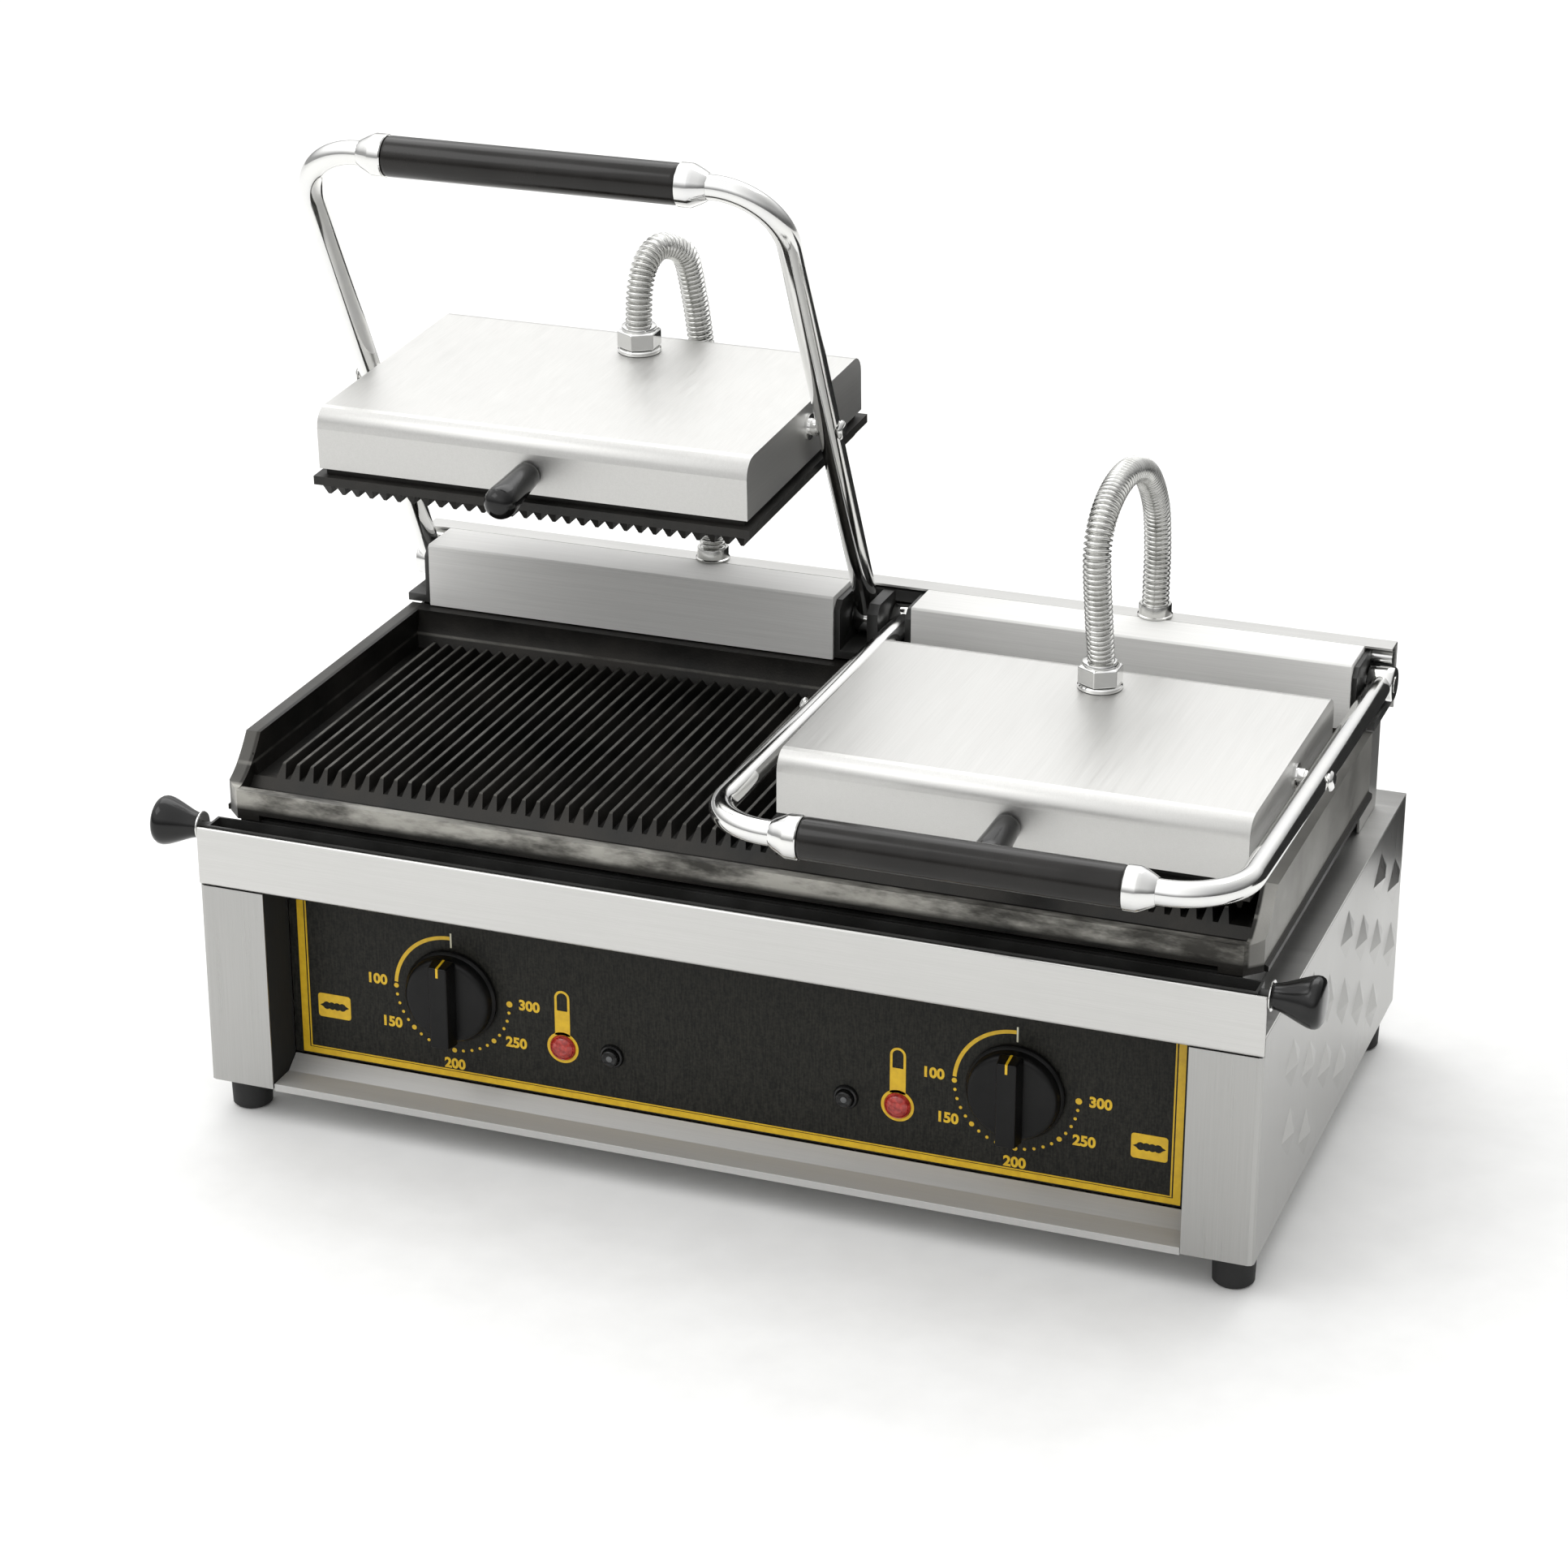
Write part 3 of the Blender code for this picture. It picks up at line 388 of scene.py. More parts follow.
def worn_and_lit_iron(name):
    """The lower casting: black inside, with its lip and rib crests worn to smeared grey, and its end walls grey,
    the right one fully and the left one faintly, a painted difference of light between the two ends.
    """
    look = Look(name, 0.6)
    sand = look.noise(1000, 4)
    lump = look.noise(120, 3)
    oil = look.noise(26, 4)
    smear = look.noise(55, 5, (0.35, 1, 1), 0.65)
    haze = look.noise(18, 3)
    x, y, z = look.axis("X"), look.axis("Y"), look.axis("Z")
    lip = look.maths("MULTIPLY", look.remap(y, depth(23.6), depth(26.2), 1.0, 0.0),
                     look.remap(z, height(180.0), height(183.5), 0.0, 1.0))
    # Painted light: the end walls turn grey above their foot, fully at the right end and only about a fifth at the
    # left end, so the two ends of one casting differ as the light falls on them.
    inside, outside = CASTING_END * MM, (CASTING_END + 1.0) * MM
    ends = look.maths("MAXIMUM", look.remap(x, inside, outside, 0.0, 1.0),
                      look.remap(x, -outside, -inside, 0.22, 0.0))
    end_walls_grey_and_lit = look.maths("MULTIPLY", ends, look.remap(z, height(178.0), height(180.0), 0.0, 1.0))
    crest = look.maths("MULTIPLY", look.remap(z, height(199.0), height(199.8), 0.0, 0.30),
                       look.remap(z, height(200.5), height(201.2), 1.0, 0.0))
    worn_lip = look.maths("MULTIPLY", lip, look.remap(smear, 0.34, 0.56, 0.35, 1.0))
    bare = look.maths("MAXIMUM", worn_lip, crest)
    black = look.shade(oil, 0.35, 0.7, (0.010, 0.010, 0.009), (0.034, 0.031, 0.027))
    grey = look.shade(smear, 0.36, 0.64, (0.085, 0.082, 0.072), (0.40, 0.39, 0.355))
    side = look.shade(haze, 0.3, 0.7, (0.22, 0.215, 0.20), (0.33, 0.325, 0.305))
    look.colour(look.mix(end_walls_grey_and_lit, look.mix(bare, black, grey), side))
    rubbed = look.maths("MULTIPLY", bare, -0.06)
    look.rough(look.maths("ADD", look.remap(oil, 0.3, 0.7, 0.36, 0.55), rubbed))
    look.bump(look.maths("ADD", sand, look.maths("MULTIPLY", lump, 1.4)), 0.24, 0.0004)
    return look.material


def plastic(name, colour, low, high, grain=900, strength=0.04, coat=0.0, specular=0.5):
    """Moulded plastic with a faint skin texture."""
    look = Look(name)
    skin = look.noise(grain, 3)
    rub = look.noise(40, 4)
    lighter = tuple(min(1.0, c * 1.35 + 0.004) for c in colour)
    look.colour(look.shade(rub, 0.35, 0.7, colour, lighter))
    texture = look.remap(skin, 0.3, 0.7, -0.02, 0.02)
    look.rough(look.maths("ADD", look.remap(rub, 0.3, 0.7, low, high), texture))
    look.bump(skin, strength, 0.0002)
    look.shader.inputs["Specular IOR Level"].default_value = specular
    look.shader.inputs["Coat Weight"].default_value = coat
    look.shader.inputs["Coat Roughness"].default_value = 0.08
    return look.material


def satin_panel(name):
    """Black printed panel film with a woven, faintly speckled face."""
    look = Look(name)
    weave = look.noise(700, 3)
    fibre = look.noise(1100, 2, (1, 1, 0.12))
    both = look.maths("ADD", look.maths("MULTIPLY", weave, 0.5), look.maths("MULTIPLY", fibre, 0.5))
    look.colour(look.shade(both, 0.38, 0.64, (0.006, 0.006, 0.005), (0.026, 0.025, 0.020)))
    look.rough(look.remap(both, 0.3, 0.7, 0.42, 0.60))
    look.bump(both, 0.12, 0.0002)
    look.shader.inputs["Specular IOR Level"].default_value = 0.2
    return look.material


def ink(name, colour, shade):
    """Printed ink, slightly uneven."""
    look = Look(name)
    patch = look.noise(260, 3)
    look.colour(look.shade(patch, 0.3, 0.7, shade, colour))
    look.rough(look.remap(patch, 0.3, 0.7, 0.38, 0.5))
    look.bump(look.noise(1500, 2), 0.05, 0.0001)
    return look.material


def lens(name):
    """Red lamp lens, ribbed inside."""
    look = Look(name)
    facet = look.noise(420, 2)
    look.colour(look.shade(facet, 0.35, 0.65, (0.26, 0.012, 0.010), (0.52, 0.040, 0.028)))
    look.rough(look.remap(facet, 0.3, 0.7, 0.16, 0.28))
    look.bump(facet, 0.25, 0.0004)
    look.shader.inputs["Coat Weight"].default_value = 0.5
    look.shader.inputs["Coat Roughness"].default_value = 0.06
    return look.material


STEEL_X = brushed("steel_grain_x", "x", tone=0.62)
STEEL_HEAD = brushed("steel_head", "y", tone=0.62, low=0.40, high=0.48)
# This steel carries the painted shade on the posts' inner sides.
STEEL_POST = brushed("steel_post", "z", tone=0.42, low=0.26, high=0.34, paint_post_shade=True)
# Painted light: the tower covers get a lighter, non-metallic copy of the stainless steel, brighter than the same
# steel elsewhere.
LIT_TOWER_STEEL = brushed("steel_tower_painted_light", "x", tone=0.82, low=0.46, high=0.56, metallic=0.0)
STEEL_SOFT = brushed("steel_soft", "x", tone=0.50, low=0.46, high=0.58, metallic=0.35)
CHROME = polished("chrome")
PIN_STEEL = polished("pin_steel", 0.72, 0.14)
CONDUIT = flexible_steel("conduit_steel")
IRON = cast_iron("cast_iron")
WORN_AND_LIT_IRON = worn_and_lit_iron("worn_and_lit_iron")
ENAMEL = plastic("black_enamel", (0.020, 0.020, 0.019), 0.30, 0.50, 500, 0.12)
PANEL = satin_panel("panel_film")
YELLOW = ink("yellow_ink", (0.78, 0.50, 0.015), (0.66, 0.40, 0.010))
PALE = ink("pale_ink", (0.74, 0.72, 0.55), (0.62, 0.60, 0.44))
GLOSS_BLACK = plastic("black_knob", (0.0030, 0.0030, 0.0030), 0.12, 0.22, 800, 0.03, 0.08, 0.35)
DIAL_BLACK = plastic("black_dial", (0.0022, 0.0022, 0.0022), 0.30, 0.40, 800, 0.04, specular=0.22)
GRIP_BLACK = plastic("grip_plastic", (0.007, 0.006, 0.005), 0.16, 0.24, 700, 0.04, specular=0.35)
BUTTON_GREY = plastic("button_insert", (0.085, 0.088, 0.090), 0.30, 0.42)
RUBBER = plastic("foot_rubber", (0.012, 0.012, 0.012), 0.65, 0.85, 600, 0.20)
CREAM = plastic("cream_plastic", (0.60, 0.57, 0.48), 0.40, 0.55)
LENS = lens("lamp_lens")

SLOT_LOOKS = {
    "stainless": STEEL_X,
    "chrome": PIN_STEEL,
    "conduit_steel": CONDUIT,
    "cast_iron": IRON,
    "black_enamel": ENAMEL,
    "black_panel": PANEL,
    "black_plastic": GLOSS_BLACK,
    "grip_plastic": GRIP_BLACK,
    "cream_plastic": CREAM,
    "lamp_lens": LENS,
    "rubber": RUBBER,
}
OWN_LOOKS = {
    "lower_plate": WORN_AND_LIT_IRON,
    "left_head_shell": STEEL_HEAD,
    "right_head_shell": STEEL_HEAD,
    "left_side_panel": STEEL_POST,
    "right_side_panel": STEEL_POST,
    "tower_cover_left": LIT_TOWER_STEEL,
    "tower_cover_right": LIT_TOWER_STEEL,
    "drip_tray": ENAMEL,
    "sill_pan": STEEL_SOFT,
}
EDGES = {
    "front_band": 0.8,
    "left_head_shell": 0.6,
    "right_head_shell": 0.6,
    "tower_cover_left": 0.5,
    "tower_cover_right": 0.5,
    "tower_rear_cover": 0.4,
    "hinge_block_left": 0.6,
    "hinge_block_centre": 0.6,
    "hinge_block_right": 0.6,
    "sill_pan": 0.4,
}

# ---------------------------------------------------------------- CAD pieces that show


def refine(obj, edge, angle=32.0):
    """Joins the faces that lie in one plane, rounds the edges and shades the curves smooth."""
    weld = obj.modifiers.new("weld", "WELD")
    weld.merge_threshold = 0.00001
    if edge > 0:
        planar = obj.modifiers.new("planar", "DECIMATE")
        planar.decimate_type = "DISSOLVE"
        planar.angle_limit = math.radians(0.4)
    finish_edges(obj, edge, angle)


def keep_sheets_flat(obj):
    """Flat shading on the faces that look square to a side or up, and smooth shading on the folds between."""
    for face in obj.data.polygons:
        x, y, z = face.normal
        face.use_smooth = max(abs(x), abs(y), z + 0.015) < 0.995


for part in frame["record"]["subparts"]:
    node = part["node"]
    embossed = node.endswith("side_panel")
    obj = frame["nodes"][node]
    obj.data.materials.clear()
    obj.data.materials.append(OWN_LOOKS.get(node, SLOT_LOOKS[part["material_slot"]]))
    refine(obj, EDGES.get(node, 0.0), 6.0 if embossed else 32.0)
    if part["material_slot"] == "stainless" and not embossed:
        keep_sheets_flat(obj)

# ---------------------------------------------------------------- control panel print


def ring(centre, inner, outer, start, stop, steps):
    return arc(centre, outer, start, stop, steps) + arc(centre, inner, stop, start, steps)


PRINT_LOW, PRINT_HIGH = PANEL_Y - 0.16, PANEL_Y + 0.05


def strip(work, x, z, low=PRINT_LOW, high=PRINT_HIGH):
    box(work, x, (low, high), z)


def disc(work, centre, radius, steps=16):
    outline(work, arc(centre, radius, 0, 360, steps)[:-1], PRINT_LOW, PRINT_HIGH)


def border(work):
    """A broad line and a fine one inside it, down both sides and along the foot of the panel."""
    for inset, width in ((0.0, 4.2), (5.0, 0.9)):
        left, right = -264.6 + inset, 261.6 - inset
        low = 25.9 + inset * 0.82
        strip(work, (left, left + width), (low, 136.0))
        strip(work, (right - width, right), (low, 136.0))
        strip(work, (left + width, right - width), (low, low + width * 0.86))


def bulb_outline(work, centre_x):
    """A thermometer round the lamp: an open tube above a filled stem and a ring."""
    centre = (centre_x, LAMP_Z)
    outline(work, ring(centre, 7.9, 9.6, 0, 180, 24), PRINT_LOW, PRINT_HIGH)
    outline(work, ring(centre, 7.9, 9.6, 180, 360, 24), PRINT_LOW, PRINT_HIGH)
    stem = [(centre_x - 4.6, LAMP_Z + 7.4), (centre_x + 4.6, LAMP_Z + 7.4),
            (centre_x + 4.6, LAMP_Z + 23), (centre_x - 4.6, LAMP_Z + 23)]
    outline(work, stem, PRINT_LOW, PRINT_HIGH)
    for side in (-1, 1):
        strip(work, sorted((centre_x + side * 4.6, centre_x + side * 3.2)), (LAMP_Z + 23, LAMP_Z + 31))
    outline(work, ring((centre_x, LAMP_Z + 31), 3.2, 4.6, 0, 180, 12), PRINT_LOW, PRINT_HIGH)


def pictogram(work, centre_x):
    """A rounded label."""
    half_x, half_z, corner = 10.3, 7.5, 1.8
    points = []
    for quarter, (x, z) in enumerate(((1, 1), (-1, 1), (-1, -1), (1, -1))):
        centre = (centre_x + x * (half_x - corner), LABEL_Z + z * (half_z - corner))
        points += arc(centre, corner, 90 * quarter, 90 * quarter + 90, 4)
    outline(work, points, PRINT_LOW, PRINT_HIGH)


def dial_marks(work, centre_x):
    """An arc and then a ring of dots round a dial, with a larger dot at each number."""
    centre = (centre_x, DIAL_Z)
    outline(work, ring(centre, 34.2, 36.4, 91, 176, 30), PRINT_LOW, PRINT_HIGH)
    for mark in range(20):
        angle = math.radians(180 + mark * 9.0)
        radius = 0.95 if mark % 5 else 1.5
        disc(work, (centre_x + DIAL_RING * math.cos(angle), DIAL_Z + DIAL_RING * math.sin(angle)), radius, 12)
    disc(work, (centre_x + DIAL_RING, DIAL_Z), 1.9, 12)


def printed(work):
    border(work)
    for side in (-1, 1):
        dial_marks(work, side * DIAL_X)
        bulb_outline(work, side * LAMP_X)
        pictogram(work, side * LABEL_X)


def pale_marks(work):
    for side in (-1, 1):
        strip(work, (side * DIAL_X - 0.5, side * DIAL_X + 0.5), (DIAL_Z + 29.5, DIAL_Z + 38.5))


def bars(work):
    """The dark mark on each label: a row of joined beads between two points."""
    low, high = PANEL_Y - 0.24, PANEL_Y - 0.10
    for side in (-1, 1):
        middle = side * LABEL_X
        for k in range(4):
            bead = arc((middle - 4.95 + 3.3 * k, LABEL_Z), 2.45, 0, 360, 12)[:-1]
            outline(work, bead, low - 0.002 * k, high)
        for end in (-1, 1):
            base, tip = middle + end * 5.6, middle + end * 9.2
            outline(work, [(base, LABEL_Z + 1.9), (tip, LABEL_Z), (base, LABEL_Z - 1.9)], low - 0.01, high)


def put(obj, body):
    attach(obj, body)
    return obj


put(piece("panel_print", printed, YELLOW), "base")
put(piece("panel_ticks", pale_marks, PALE), "base")
put(piece("panel_label_marks", bars, PANEL), "base")

DIAL_NUMBERS = (
    ("100", -47.5, 2.0),
    ("150", -39.0, -24.0),
    ("200", 0.0, -44.2),
    ("250", 39.0, -24.0),
    ("300", 47.5, 0.5),
)


def printed_number(label, text, where):
    """A printed number as a mesh, upright on the panel."""
    made = bpy.data.curves.new("dial_" + text + "_" + label, "FONT")
    made.body = text
    made.size = 0.0086
    made.align_x = "CENTER"
    made.align_y = "CENTER"
    made.extrude = 0.00008
    made.offset = 0.00034
    made.resolution_u = 4
    made.materials.append(YELLOW)
    sign = bpy.data.objects.new(made.name, made)
    bpy.context.scene.collection.objects.link(sign)
    sign.location = to_frame(where)
    sign.rotation_euler = (math.radians(90), 0, 0)
    bpy.context.view_layer.update()
    flat = bpy.data.meshes.new_from_object(sign.evaluated_get(bpy.context.evaluated_depsgraph_get()))
    solid = bpy.data.objects.new("mark_" + text + "_" + label, flat)
    solid.matrix_world = sign.matrix_world
    bpy.data.objects.remove(sign)
    bpy.context.scene.collection.objects.link(solid)
    return solid


for label, side in (("left", -1), ("right", 1)):
    for text, x, z in DIAL_NUMBERS:
        where = (side * DIAL_X + x, PANEL_Y - 0.08, DIAL_Z + z)
        put(printed_number(label, text, where), "base")

# ---------------------------------------------------------------- knobs, buttons, lamps


def dial_face(work):
    """Skirt and rounded disc of a dial knob."""
    profile = [(0, -10.4), (22.6, -10.4), (24.4, -9.9), (25.6, -8.6), (26.3, -6.4), (26.6, -4.4),
               (27.4, -3.7), (28.0, -3.0), (28.0, -1.0), (27.6, -0.6), (0, -0.6)]
    turned(work, profile, axis="y", steps=72)


def dial_bar(work):
    """The finger bar across the dial, narrower at the top than at the foot."""
    foot = [(-7.0, -26.3), (7.0, -26.3), (7.0, 26.3), (-7.0, 26.3)]
    head = [(-5.6, -25.2), (5.6, -25.2), (5.6, 25.2), (-5.6, 25.2)]
    low = [work.verts.new((a, -9.6, b)) for a, b in foot]
    top = [work.verts.new((a, -20.0, b)) for a, b in head]
    work.faces.new(low)
    work.faces.new(top)
    for i in range(4):
        j = (i + 1) % 4
        work.faces.new((low[i], low[j], top[j], top[i]))


def dial_pointer(work):
    """The line down the upper end of the bar and a little way over its face."""
    box(work, (-0.7, 0.7), (-20.14, -19.6), (19.5, 25.2))
    corners = [(-0.7, -10.2, 26.45), (0.7, -10.2, 26.45), (0.7, -20.1, 25.35), (-0.7, -20.1, 25.35)]
    inner = [(x, y + 0.4, z - 0.6) for x, y, z in corners]
    low = [work.verts.new(p) for p in corners]
    high = [work.verts.new(p) for p in inner]
    work.faces.new(low)
    work.faces.new(high)
    for i in range(4):
        j = (i + 1) % 4
        work.faces.new((low[i], low[j], high[j], high[i]))


for label, side in (("left", -1), ("right", 1)):
    where = (side * DIAL_X, PANEL_Y, DIAL_Z)
    dial = label + "_dial"
    face = put(piece(label + "_dial_face", dial_face, DIAL_BLACK, where, angle=35), dial)
    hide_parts(label + "_thermostat_knob")
    put(piece(label + "_dial_bar", dial_bar, DIAL_BLACK, where, edge=1.1), dial)
    put(piece(label + "_dial_pointer", dial_pointer, YELLOW, where), dial)


def lamp_lens(work):
    profile = [(0, -3.2), (1.5, -3.15), (3.2, -2.8), (3.6, -3.0), (5.2, -2.3), (6.4, -1.5), (6.8, -0.4),
               (6.8, 0.3), (0, 0.3)]
    turned(work, profile, axis="y", steps=40)


def lamp_bezel(work):
    profile = [(6.7, 0.3), (6.7, -1.2), (7.1, -1.6), (7.6, -1.0), (7.8, -0.1), (7.8, 0.3)]
    turned(work, profile, axis="y", steps=40)


def button_cap(work):
    profile = [(0, -4.2), (2.4, -4.3), (3.2, -4.7), (3.9, -5.0), (4.6, -4.7), (5.0, -4.0),
               (5.0, 4.0), (0, 4.0)]
    turned(work, profile, axis="y", steps=40)


def button_insert(work):
    turned(work, [(0, -4.9), (1.3, -4.8), (1.8, -4.5), (1.8, -4.0), (0, -4.0)], axis="y", steps=24)


def button_collar(work):
    profile = [(5.2, 0.2), (5.2, -1.6), (5.6, -2.0), (6.6, -1.7), (7.3, -0.6), (7.3, 0.2)]
    turned(work, profile, axis="y", steps=40)


for label, side in (("left", -1), ("right", 1)):
    where = (side * LAMP_X, PANEL_Y, LAMP_Z)
    lamp = put(piece(label + "_lamp_lens", lamp_lens, LENS, where, angle=40), "base")
    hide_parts(label + "_lamp")
    put(piece(label + "_lamp_bezel", lamp_bezel, LENS, where), "base")
    where = (side * BUTTON_X, PANEL_Y, LAMP_Z)
    button = label + "_push_button"
    cap = put(piece(label + "_button_cap", button_cap, GLOSS_BLACK, where, angle=40), button)
    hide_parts(label + "_button")
    put(piece(label + "_button_insert", button_insert, BUTTON_GREY, where), button)
    collar = piece(label + "_button_collar", button_collar, GLOSS_BLACK, where, angle=40)
    put(collar, "base")


def tray_knob(side):
    def build(work):
        profile = [(0, 0.2), (6.6, 0.2), (7.0, 0.8), (7.3, 3), (8.2, 6), (9.6, 9.5), (11.3, 13.5),
                   (12.8, 17.3), (13.8, 20.2), (14.2, 22.4), (14.0, 24.3), (13.0, 26.0), (11.0, 27.2),
                   (7.0, 27.8), (0, 28.0)]
        turned(work, [(r, side * a) for r, a in profile], axis="x")
    return build


def knob_washer(side):
    def build(work):
        profile = [(0, -0.9), (8.0, -0.9), (8.4, -0.5), (8.4, 0.1), (0, 0.1)]
        turned(work, [(r, side * a) for r, a in profile], axis="x", steps=36)
    return build


for label, side in (("left", -1), ("right", 1)):
    where = (side * 311.0, 9.0, 170.5)
    grip_piece = piece("tray_grip_" + label, tray_knob(side), GLOSS_BLACK, where, angle=50)
    knob = put(grip_piece, "drip_drawer")
    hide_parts("tray_knob_" + label)
    put(piece("tray_washer_" + label, knob_washer(side), PIN_STEEL, where), "drip_drawer")

# ---------------------------------------------------------------- yokes, handles, conduits


def yoke_path():
    """The centre line of a yoke from hub to hub, with the hinge axis at the origin."""
    side = ARM_X - BEND_RADIUS
    front = -ARM_LENGTH + BEND_RADIUS
    path = [(-ARM_X, -HUB_RADIUS + 3.0, 0), (-ARM_X, -60, 0), (-ARM_X, -180, 0)]
    path += [(x, y, 0) for x, y in arc((-side, front), BEND_RADIUS, 180, 270, 24)]
    path += [(x, y, 0) for x, y in arc((side, front), BEND_RADIUS, 270, 360, 24)]
    return path + [(ARM_X, -180, 0), (ARM_X, -60, 0), (ARM_X, -HUB_RADIUS + 3.0, 0)]


def yoke_tube(work):
    path = yoke_path()
    swept(work, path, [TUBE_RADIUS] * len(path), 40)


def yoke_hubs(work):
    for side in (-1, 1):
        turned(work, [(5.3, -7.6), (9.2, -7.6), (10.0, -6.8), (10.0, 6.8), (9.2, 7.6), (5.3, 7.6)],
               (side * ARM_X, 0, 0), "x", 48)


def ferrules(work):
    """The turned ends between the tube and its grip."""
    for side in (-1, 1):
        profile = [(0, 87.3), (11.6, 87.3), (12.2, 87.9), (12.2, 94.2), (11.9, 95.2), (11.0, 97.2),
                   (9.4, 100.6), (8.0, 103.2), (7.4, 104.0), (0, 104.0)]
        turned(work, [(r, side * a) for r, a in profile], (0, -ARM_LENGTH, 0), "x", 48)


def grip(work):
    end = GRIP_HALF
    profile = [(0, -end), (10.9, -end), (11.3, -end + 0.6), (11.5, -end + 2), (11.5, -30), (11.5, 30),
               (11.5, end - 2), (11.3, end - 0.6), (10.9, end), (0, end)]
    turned(work, profile, (0, -ARM_LENGTH, 0), "x", 64)


def handle(work):
    """The small knob on a head's front, thicker towards its rounded end."""
    profile = [(0, -47), (2.5, -46.8), (4.8, -46.2), (6.8, -44.9), (8.4, -42.8), (9.3, -40.2), (9.6, -37.2),
               (9.4, -33), (9.0, -27), (8.6, -20), (8.1, -11), (7.8, -4), (7.6, -1.7), (7.2, -1.2), (0, -1.2)]
    turned(work, profile, axis="y")


def bolt(side):
    """The pivot bolt through an arm: washer, spacer and domed head."""
    def build(work):
        profile = [(0, 130.9), (7.4, 130.9), (7.6, 131.6), (7.6, 132.8), (5.0, 132.9), (5.0, 136.8),
                   (4.2, 137.0), (4.2, 150.6), (5.6, 150.8), (5.8, 151.2), (5.2, 152.4), (3.6, 153.3),
                   (0, 153.6)]
        turned(work, [(r, side * a) for r, a in profile], axis="x", steps=36)
    return build


def nut(work):
    profile = [(0, 2.8), (11.6, 2.8), (NUT_CORNER, 3.8), (NUT_CORNER, 13.0), (11.6, 14.0), (0, 14.0)]
    turned(work, profile, (NUT_X, NUT_Y, HEAD_TOP), "z", 6, 0.5)


def nut_flange(work):
    turned(work, [(0, 0.3), (12.6, 0.3), (12.9, 0.8), (12.9, 2.2), (12.2, 2.9), (0, 2.9)],
           (NUT_X, NUT_Y, HEAD_TOP), "z", 48)


def nut_collar(work):
    turned(work, [(0, 13.9), (10.6, 13.9), (10.6, 15.2), (10.2, 15.9), (8.6, 16.3), (0, 16.3)],
           (NUT_X, NUT_Y, HEAD_TOP), "z", 48)


def tower_ferrule(work):
    turned(work, [(0, 0.2), (10.4, 0.2), (10.4, 1.2), (9.6, 1.7), (9.6, 7.3), (9.2, 8.0), (0, 8.0)],
           (0, 0, TOWER_TOP), "z", 48)


HOSE_GROOVE = 6.1
CORRUGATION = (
    (0.0, HOSE_GROOVE),
    (0.15, 6.95),
    (0.28, 7.8),
    (0.45, 8.0),
    (0.62, 7.8),
    (0.75, 6.95),
    (0.9, HOSE_GROOVE),
)
PITCH = 3.1


def corrugated(path, first, last):
    """A corrugated hose along part of a path, on whole pitches so that two lengths meet."""
    lengths = [0.0]
    for a, b in zip(path, path[1:]):
        lengths.append(lengths[-1] + (b - a).length)

    def at(length):
        length = min(max(length, 0.0), lengths[-1])
        for i in range(len(path) - 1):
            if length <= lengths[i + 1]:
                share = (length - lengths[i]) / (lengths[i + 1] - lengths[i])
                return path[i].lerp(path[i + 1], share)
        return path[-1]

    low = round(first * lengths[-1] / PITCH)
    high = round(last * lengths[-1] / PITCH)
    points, radii = [], []
    for turn in range(low, high):
        for share, radius in CORRUGATION:
            points.append(at((turn + share) * PITCH))
            radii.append(radius)
    points.append(at(high * PITCH))
    radii.append(HOSE_GROOVE)
    return points, radii


def hose(name, points, radii, look):
    def build(work):
        swept(work, points, radii, 24)
    return piece(name, build, look, angle=80)


def path_length(path):
    return sum((b - a).length for a, b in zip(path, path[1:]))


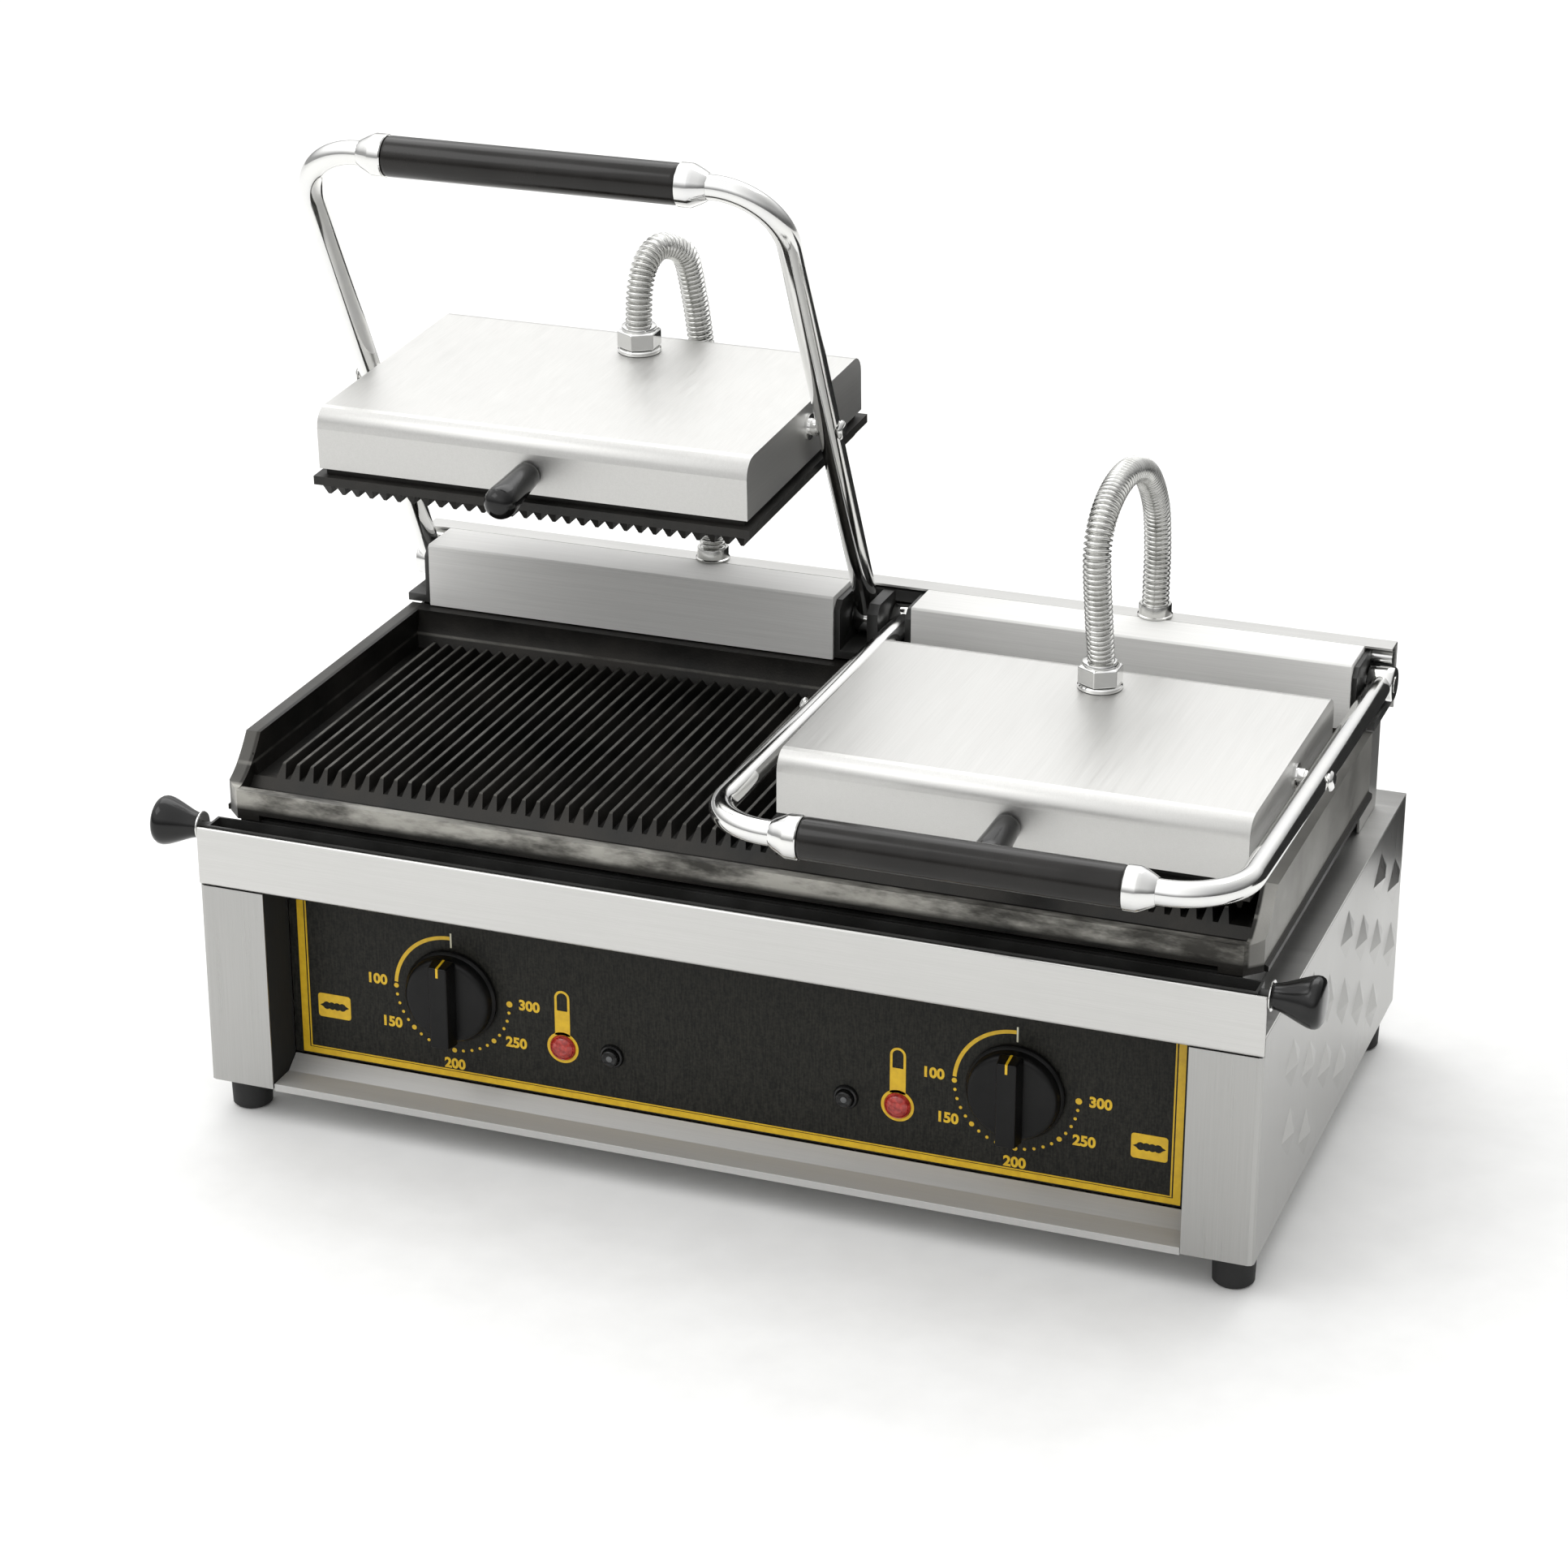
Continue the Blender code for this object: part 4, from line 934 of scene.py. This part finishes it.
def unit(name, centre_x, drop_x, loop, joint_point):
    """The seen parts of one yoke, its head and its conduit, which runs through loop.

    The conduit is drawn in two lengths that meet near joint_point, a (y, z) pair.
    """
    hinge = in_mm(joints[name + "_lift"]["pos_m"])
    pivot = in_mm(joints[name + "_level"]["pos_m"])
    rise = math.atan2(pivot.z - hinge.z, hinge.y - pivot.y)
    lean = math.radians(2.3) if name == "left" else 0.0
    turn = Matrix.Rotation(lean, 3, "X")
    yoke, head = name + "_yoke", name + "_head"

    tube = put(piece(name + "_tube", yoke_tube, CHROME, hinge, -rise, 0, 60), yoke)
    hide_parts(name + "_yoke_tube")
    put(piece(name + "_hubs", yoke_hubs, CHROME, hinge, -rise, 0, 50), yoke)
    put(piece(name + "_grip_ends", ferrules, CHROME, hinge, -rise, 0, 28), yoke)
    bar = put(piece(name + "_bar_grip", grip, GRIP_BLACK, hinge, -rise, 0, 40), yoke)
    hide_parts(name + "_yoke_grip")

    base = pivot + turn @ Vector((0, HEAD_FRONT, HANDLE_Z))
    knob = put(piece(name + "_lift_handle", handle, GLOSS_BLACK, base, lean + math.radians(5), 0, 50), head)
    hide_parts(name + "_head_handle")
    for label, side in (("left", -1), ("right", 1)):
        pin = piece(name + "_pivot_bolt_" + label, bolt(side), CHROME, pivot, lean, 0, 40)
        put(pin, head)
        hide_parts(name + "_pivot_pin_" + label)
    hexagon = put(piece(name + "_gland_nut", nut, CHROME, pivot, lean, 0.5, 25), head)
    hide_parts(name + "_conduit_nut")
    put(piece(name + "_gland_flange", nut_flange, CHROME, pivot, lean, 0, 40), head)
    put(piece(name + "_gland_collar", nut_collar, CHROME, pivot, lean, 0, 40), head)
    end = put(piece(name + "_tower_ferrule", tower_ferrule, CONDUIT, (drop_x, FERRULE_Y, 0), angle=40),
              "base")
    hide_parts(name + "_conduit_ferrule")

    start = [pivot + turn @ Vector((NUT_X, NUT_Y, HEAD_TOP + h)) for h in (8.5, 19)]
    drop = [Vector((drop_x, FERRULE_Y, TOWER_TOP + h)) for h in (21, 10, 2.2)]
    path = smooth_path(start + loop + drop, 3.0)
    join_y, join_z = joint_point
    nearest = min(range(len(path)), key=lambda i: abs(path[i].y - join_y) + abs(path[i].z - join_z))
    split = path_length(path[:nearest + 1]) / path_length(path)
    upper, upper_radii = corrugated(path, 0.0, split)
    lower, lower_radii = corrugated(path, split, 1.0)
    first = hose(name + "_conduit_at_head", upper, upper_radii, CONDUIT)
    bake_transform(first)
    second = hose(name + "_conduit_at_tower", lower, lower_radii, CONDUIT)
    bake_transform(second)
    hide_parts(name + "_conduit")


LEFT_LOOP = [Vector(p) for p in ((-150, 280, 428), (-149, 288, 442), (-145, 302, 448), (-138, 320, 439),
                                 (-135, 329, 410), (-132, 332, 380), (-126, 330, 350), (-118, 311, 292))]
RIGHT_LOOP = [Vector(p) for p in ((160.5, 190, 295), (159, 188, 335), (159, 206, 356), (160, 240, 363),
                                  (161, 276, 352), (161.5, 300, 326), (162, 306, 298))]
unit("left", -HEAD_X, -115.5, LEFT_LOOP, (281.0, 430.0))
unit("right", HEAD_X, 162.0, RIGHT_LOOP, (282.5, 347.3))

# ---------------------------------------------------------------- light, floor and camera

world = bpy.data.worlds.new("studio")
bpy.context.scene.world = world
world.use_nodes = True
tree = world.node_tree
back = tree.nodes["Background"]
coordinate = tree.nodes.new("ShaderNodeTexCoord")
parts = tree.nodes.new("ShaderNodeSeparateXYZ")
ramp = tree.nodes.new("ShaderNodeValToRGB")
tree.links.new(coordinate.outputs["Generated"], parts.inputs["Vector"])
tree.links.new(parts.outputs["Z"], ramp.inputs["Fac"])
ramp.color_ramp.elements[0].position = 0.0
ramp.color_ramp.elements[0].color = (0.30, 0.30, 0.30, 1)
ramp.color_ramp.elements[1].position = 0.42
ramp.color_ramp.elements[1].color = (1.0, 1.0, 1.0, 1)
middle = ramp.color_ramp.elements.new(0.12)
middle.color = (0.32, 0.32, 0.32, 1)
across = tree.nodes.new("ShaderNodeMapRange")
across.inputs["From Min"].default_value = 0.15
across.inputs["From Max"].default_value = 0.85
across.inputs["To Min"].default_value = 1.0
across.inputs["To Max"].default_value = 0.35
tree.links.new(parts.outputs["X"], across.inputs["Value"])
shade = tree.nodes.new("ShaderNodeMath")
shade.operation = "MULTIPLY"
shade.inputs[1].default_value = 1.28
tree.links.new(across.outputs["Result"], shade.inputs[0])
tree.links.new(ramp.outputs["Color"], back.inputs["Color"])
tree.links.new(shade.outputs["Value"], back.inputs["Strength"])
bpy.context.scene.view_settings.view_transform = "Standard"


def light(name, place, aim, size, power):
    lamp = bpy.data.lights.new(name, "AREA")
    lamp.shape = "RECTANGLE"
    lamp.size, lamp.size_y = size
    lamp.energy = power
    obj = bpy.data.objects.new(name, lamp)
    obj.location = place
    obj.rotation_euler = (Vector(aim) - Vector(place)).to_track_quat("-Z", "Y").to_euler()
    bpy.context.scene.collection.objects.link(obj)
    return obj


light("key", (-1.6, -1.4, 2.6), (0, 0, 0.2), (1.8, 1.4), 14)
light("top", (-0.4, 1.5, 2.6), (0, 0.0, 0.2), (3.2, 1.8), 30)


def staging(name, corners, look):
    """A flat piece of the set, which isn't part of the object."""
    mesh = bpy.data.meshes.new(name)
    mesh.from_pydata(corners, [], [(0, 1, 2, 3)])
    mesh.materials.append(look)
    obj = bpy.data.objects.new(name, mesh)
    bpy.context.scene.collection.objects.link(obj)
    return obj


cover = Look("pale_floor")
grain = cover.noise(30, 4)
cover.colour(cover.shade(grain, 0.3, 0.7, (0.88, 0.88, 0.87), (0.92, 0.92, 0.91)))
cover.rough(cover.remap(grain, 0.3, 0.7, 0.75, 0.85))
staging("floor", [(-9, -9, -0.0004), (9, -9, -0.0004), (9, 9, -0.0004), (-9, 9, -0.0004)], cover.material)

dull = Look("card_black")
flock = dull.noise(30, 2)
dull.colour(dull.mix(flock, (0.010, 0.010, 0.010), (0.016, 0.016, 0.016)))
dull.rough(dull.remap(flock, 0.3, 0.7, 0.85, 0.95))
card = staging("dark_card", [(-0.3, 0.42, 0.002), (1.5, 0.42, 0.002), (1.5, 0.42, 0.34), (-0.3, 0.42, 0.34)],
               dull.material)
card.visible_camera = False
card.visible_diffuse = False
card.visible_shadow = False

camera_data = bpy.data.cameras.new("camera")
camera_data.lens = 91.65
camera_data.sensor_width = 36.0
camera_data.clip_start = 0.05
camera_data.clip_end = 60.0
camera = bpy.data.objects.new("camera", camera_data)
camera.location = (0.7212, FRONT - 1.81473, 1.0871 + LIFT * MM)
camera.rotation_euler = (math.pi / 2 - 0.40658, 0, 0.35688)
bpy.context.scene.collection.objects.link(camera)
bpy.context.scene.camera = camera
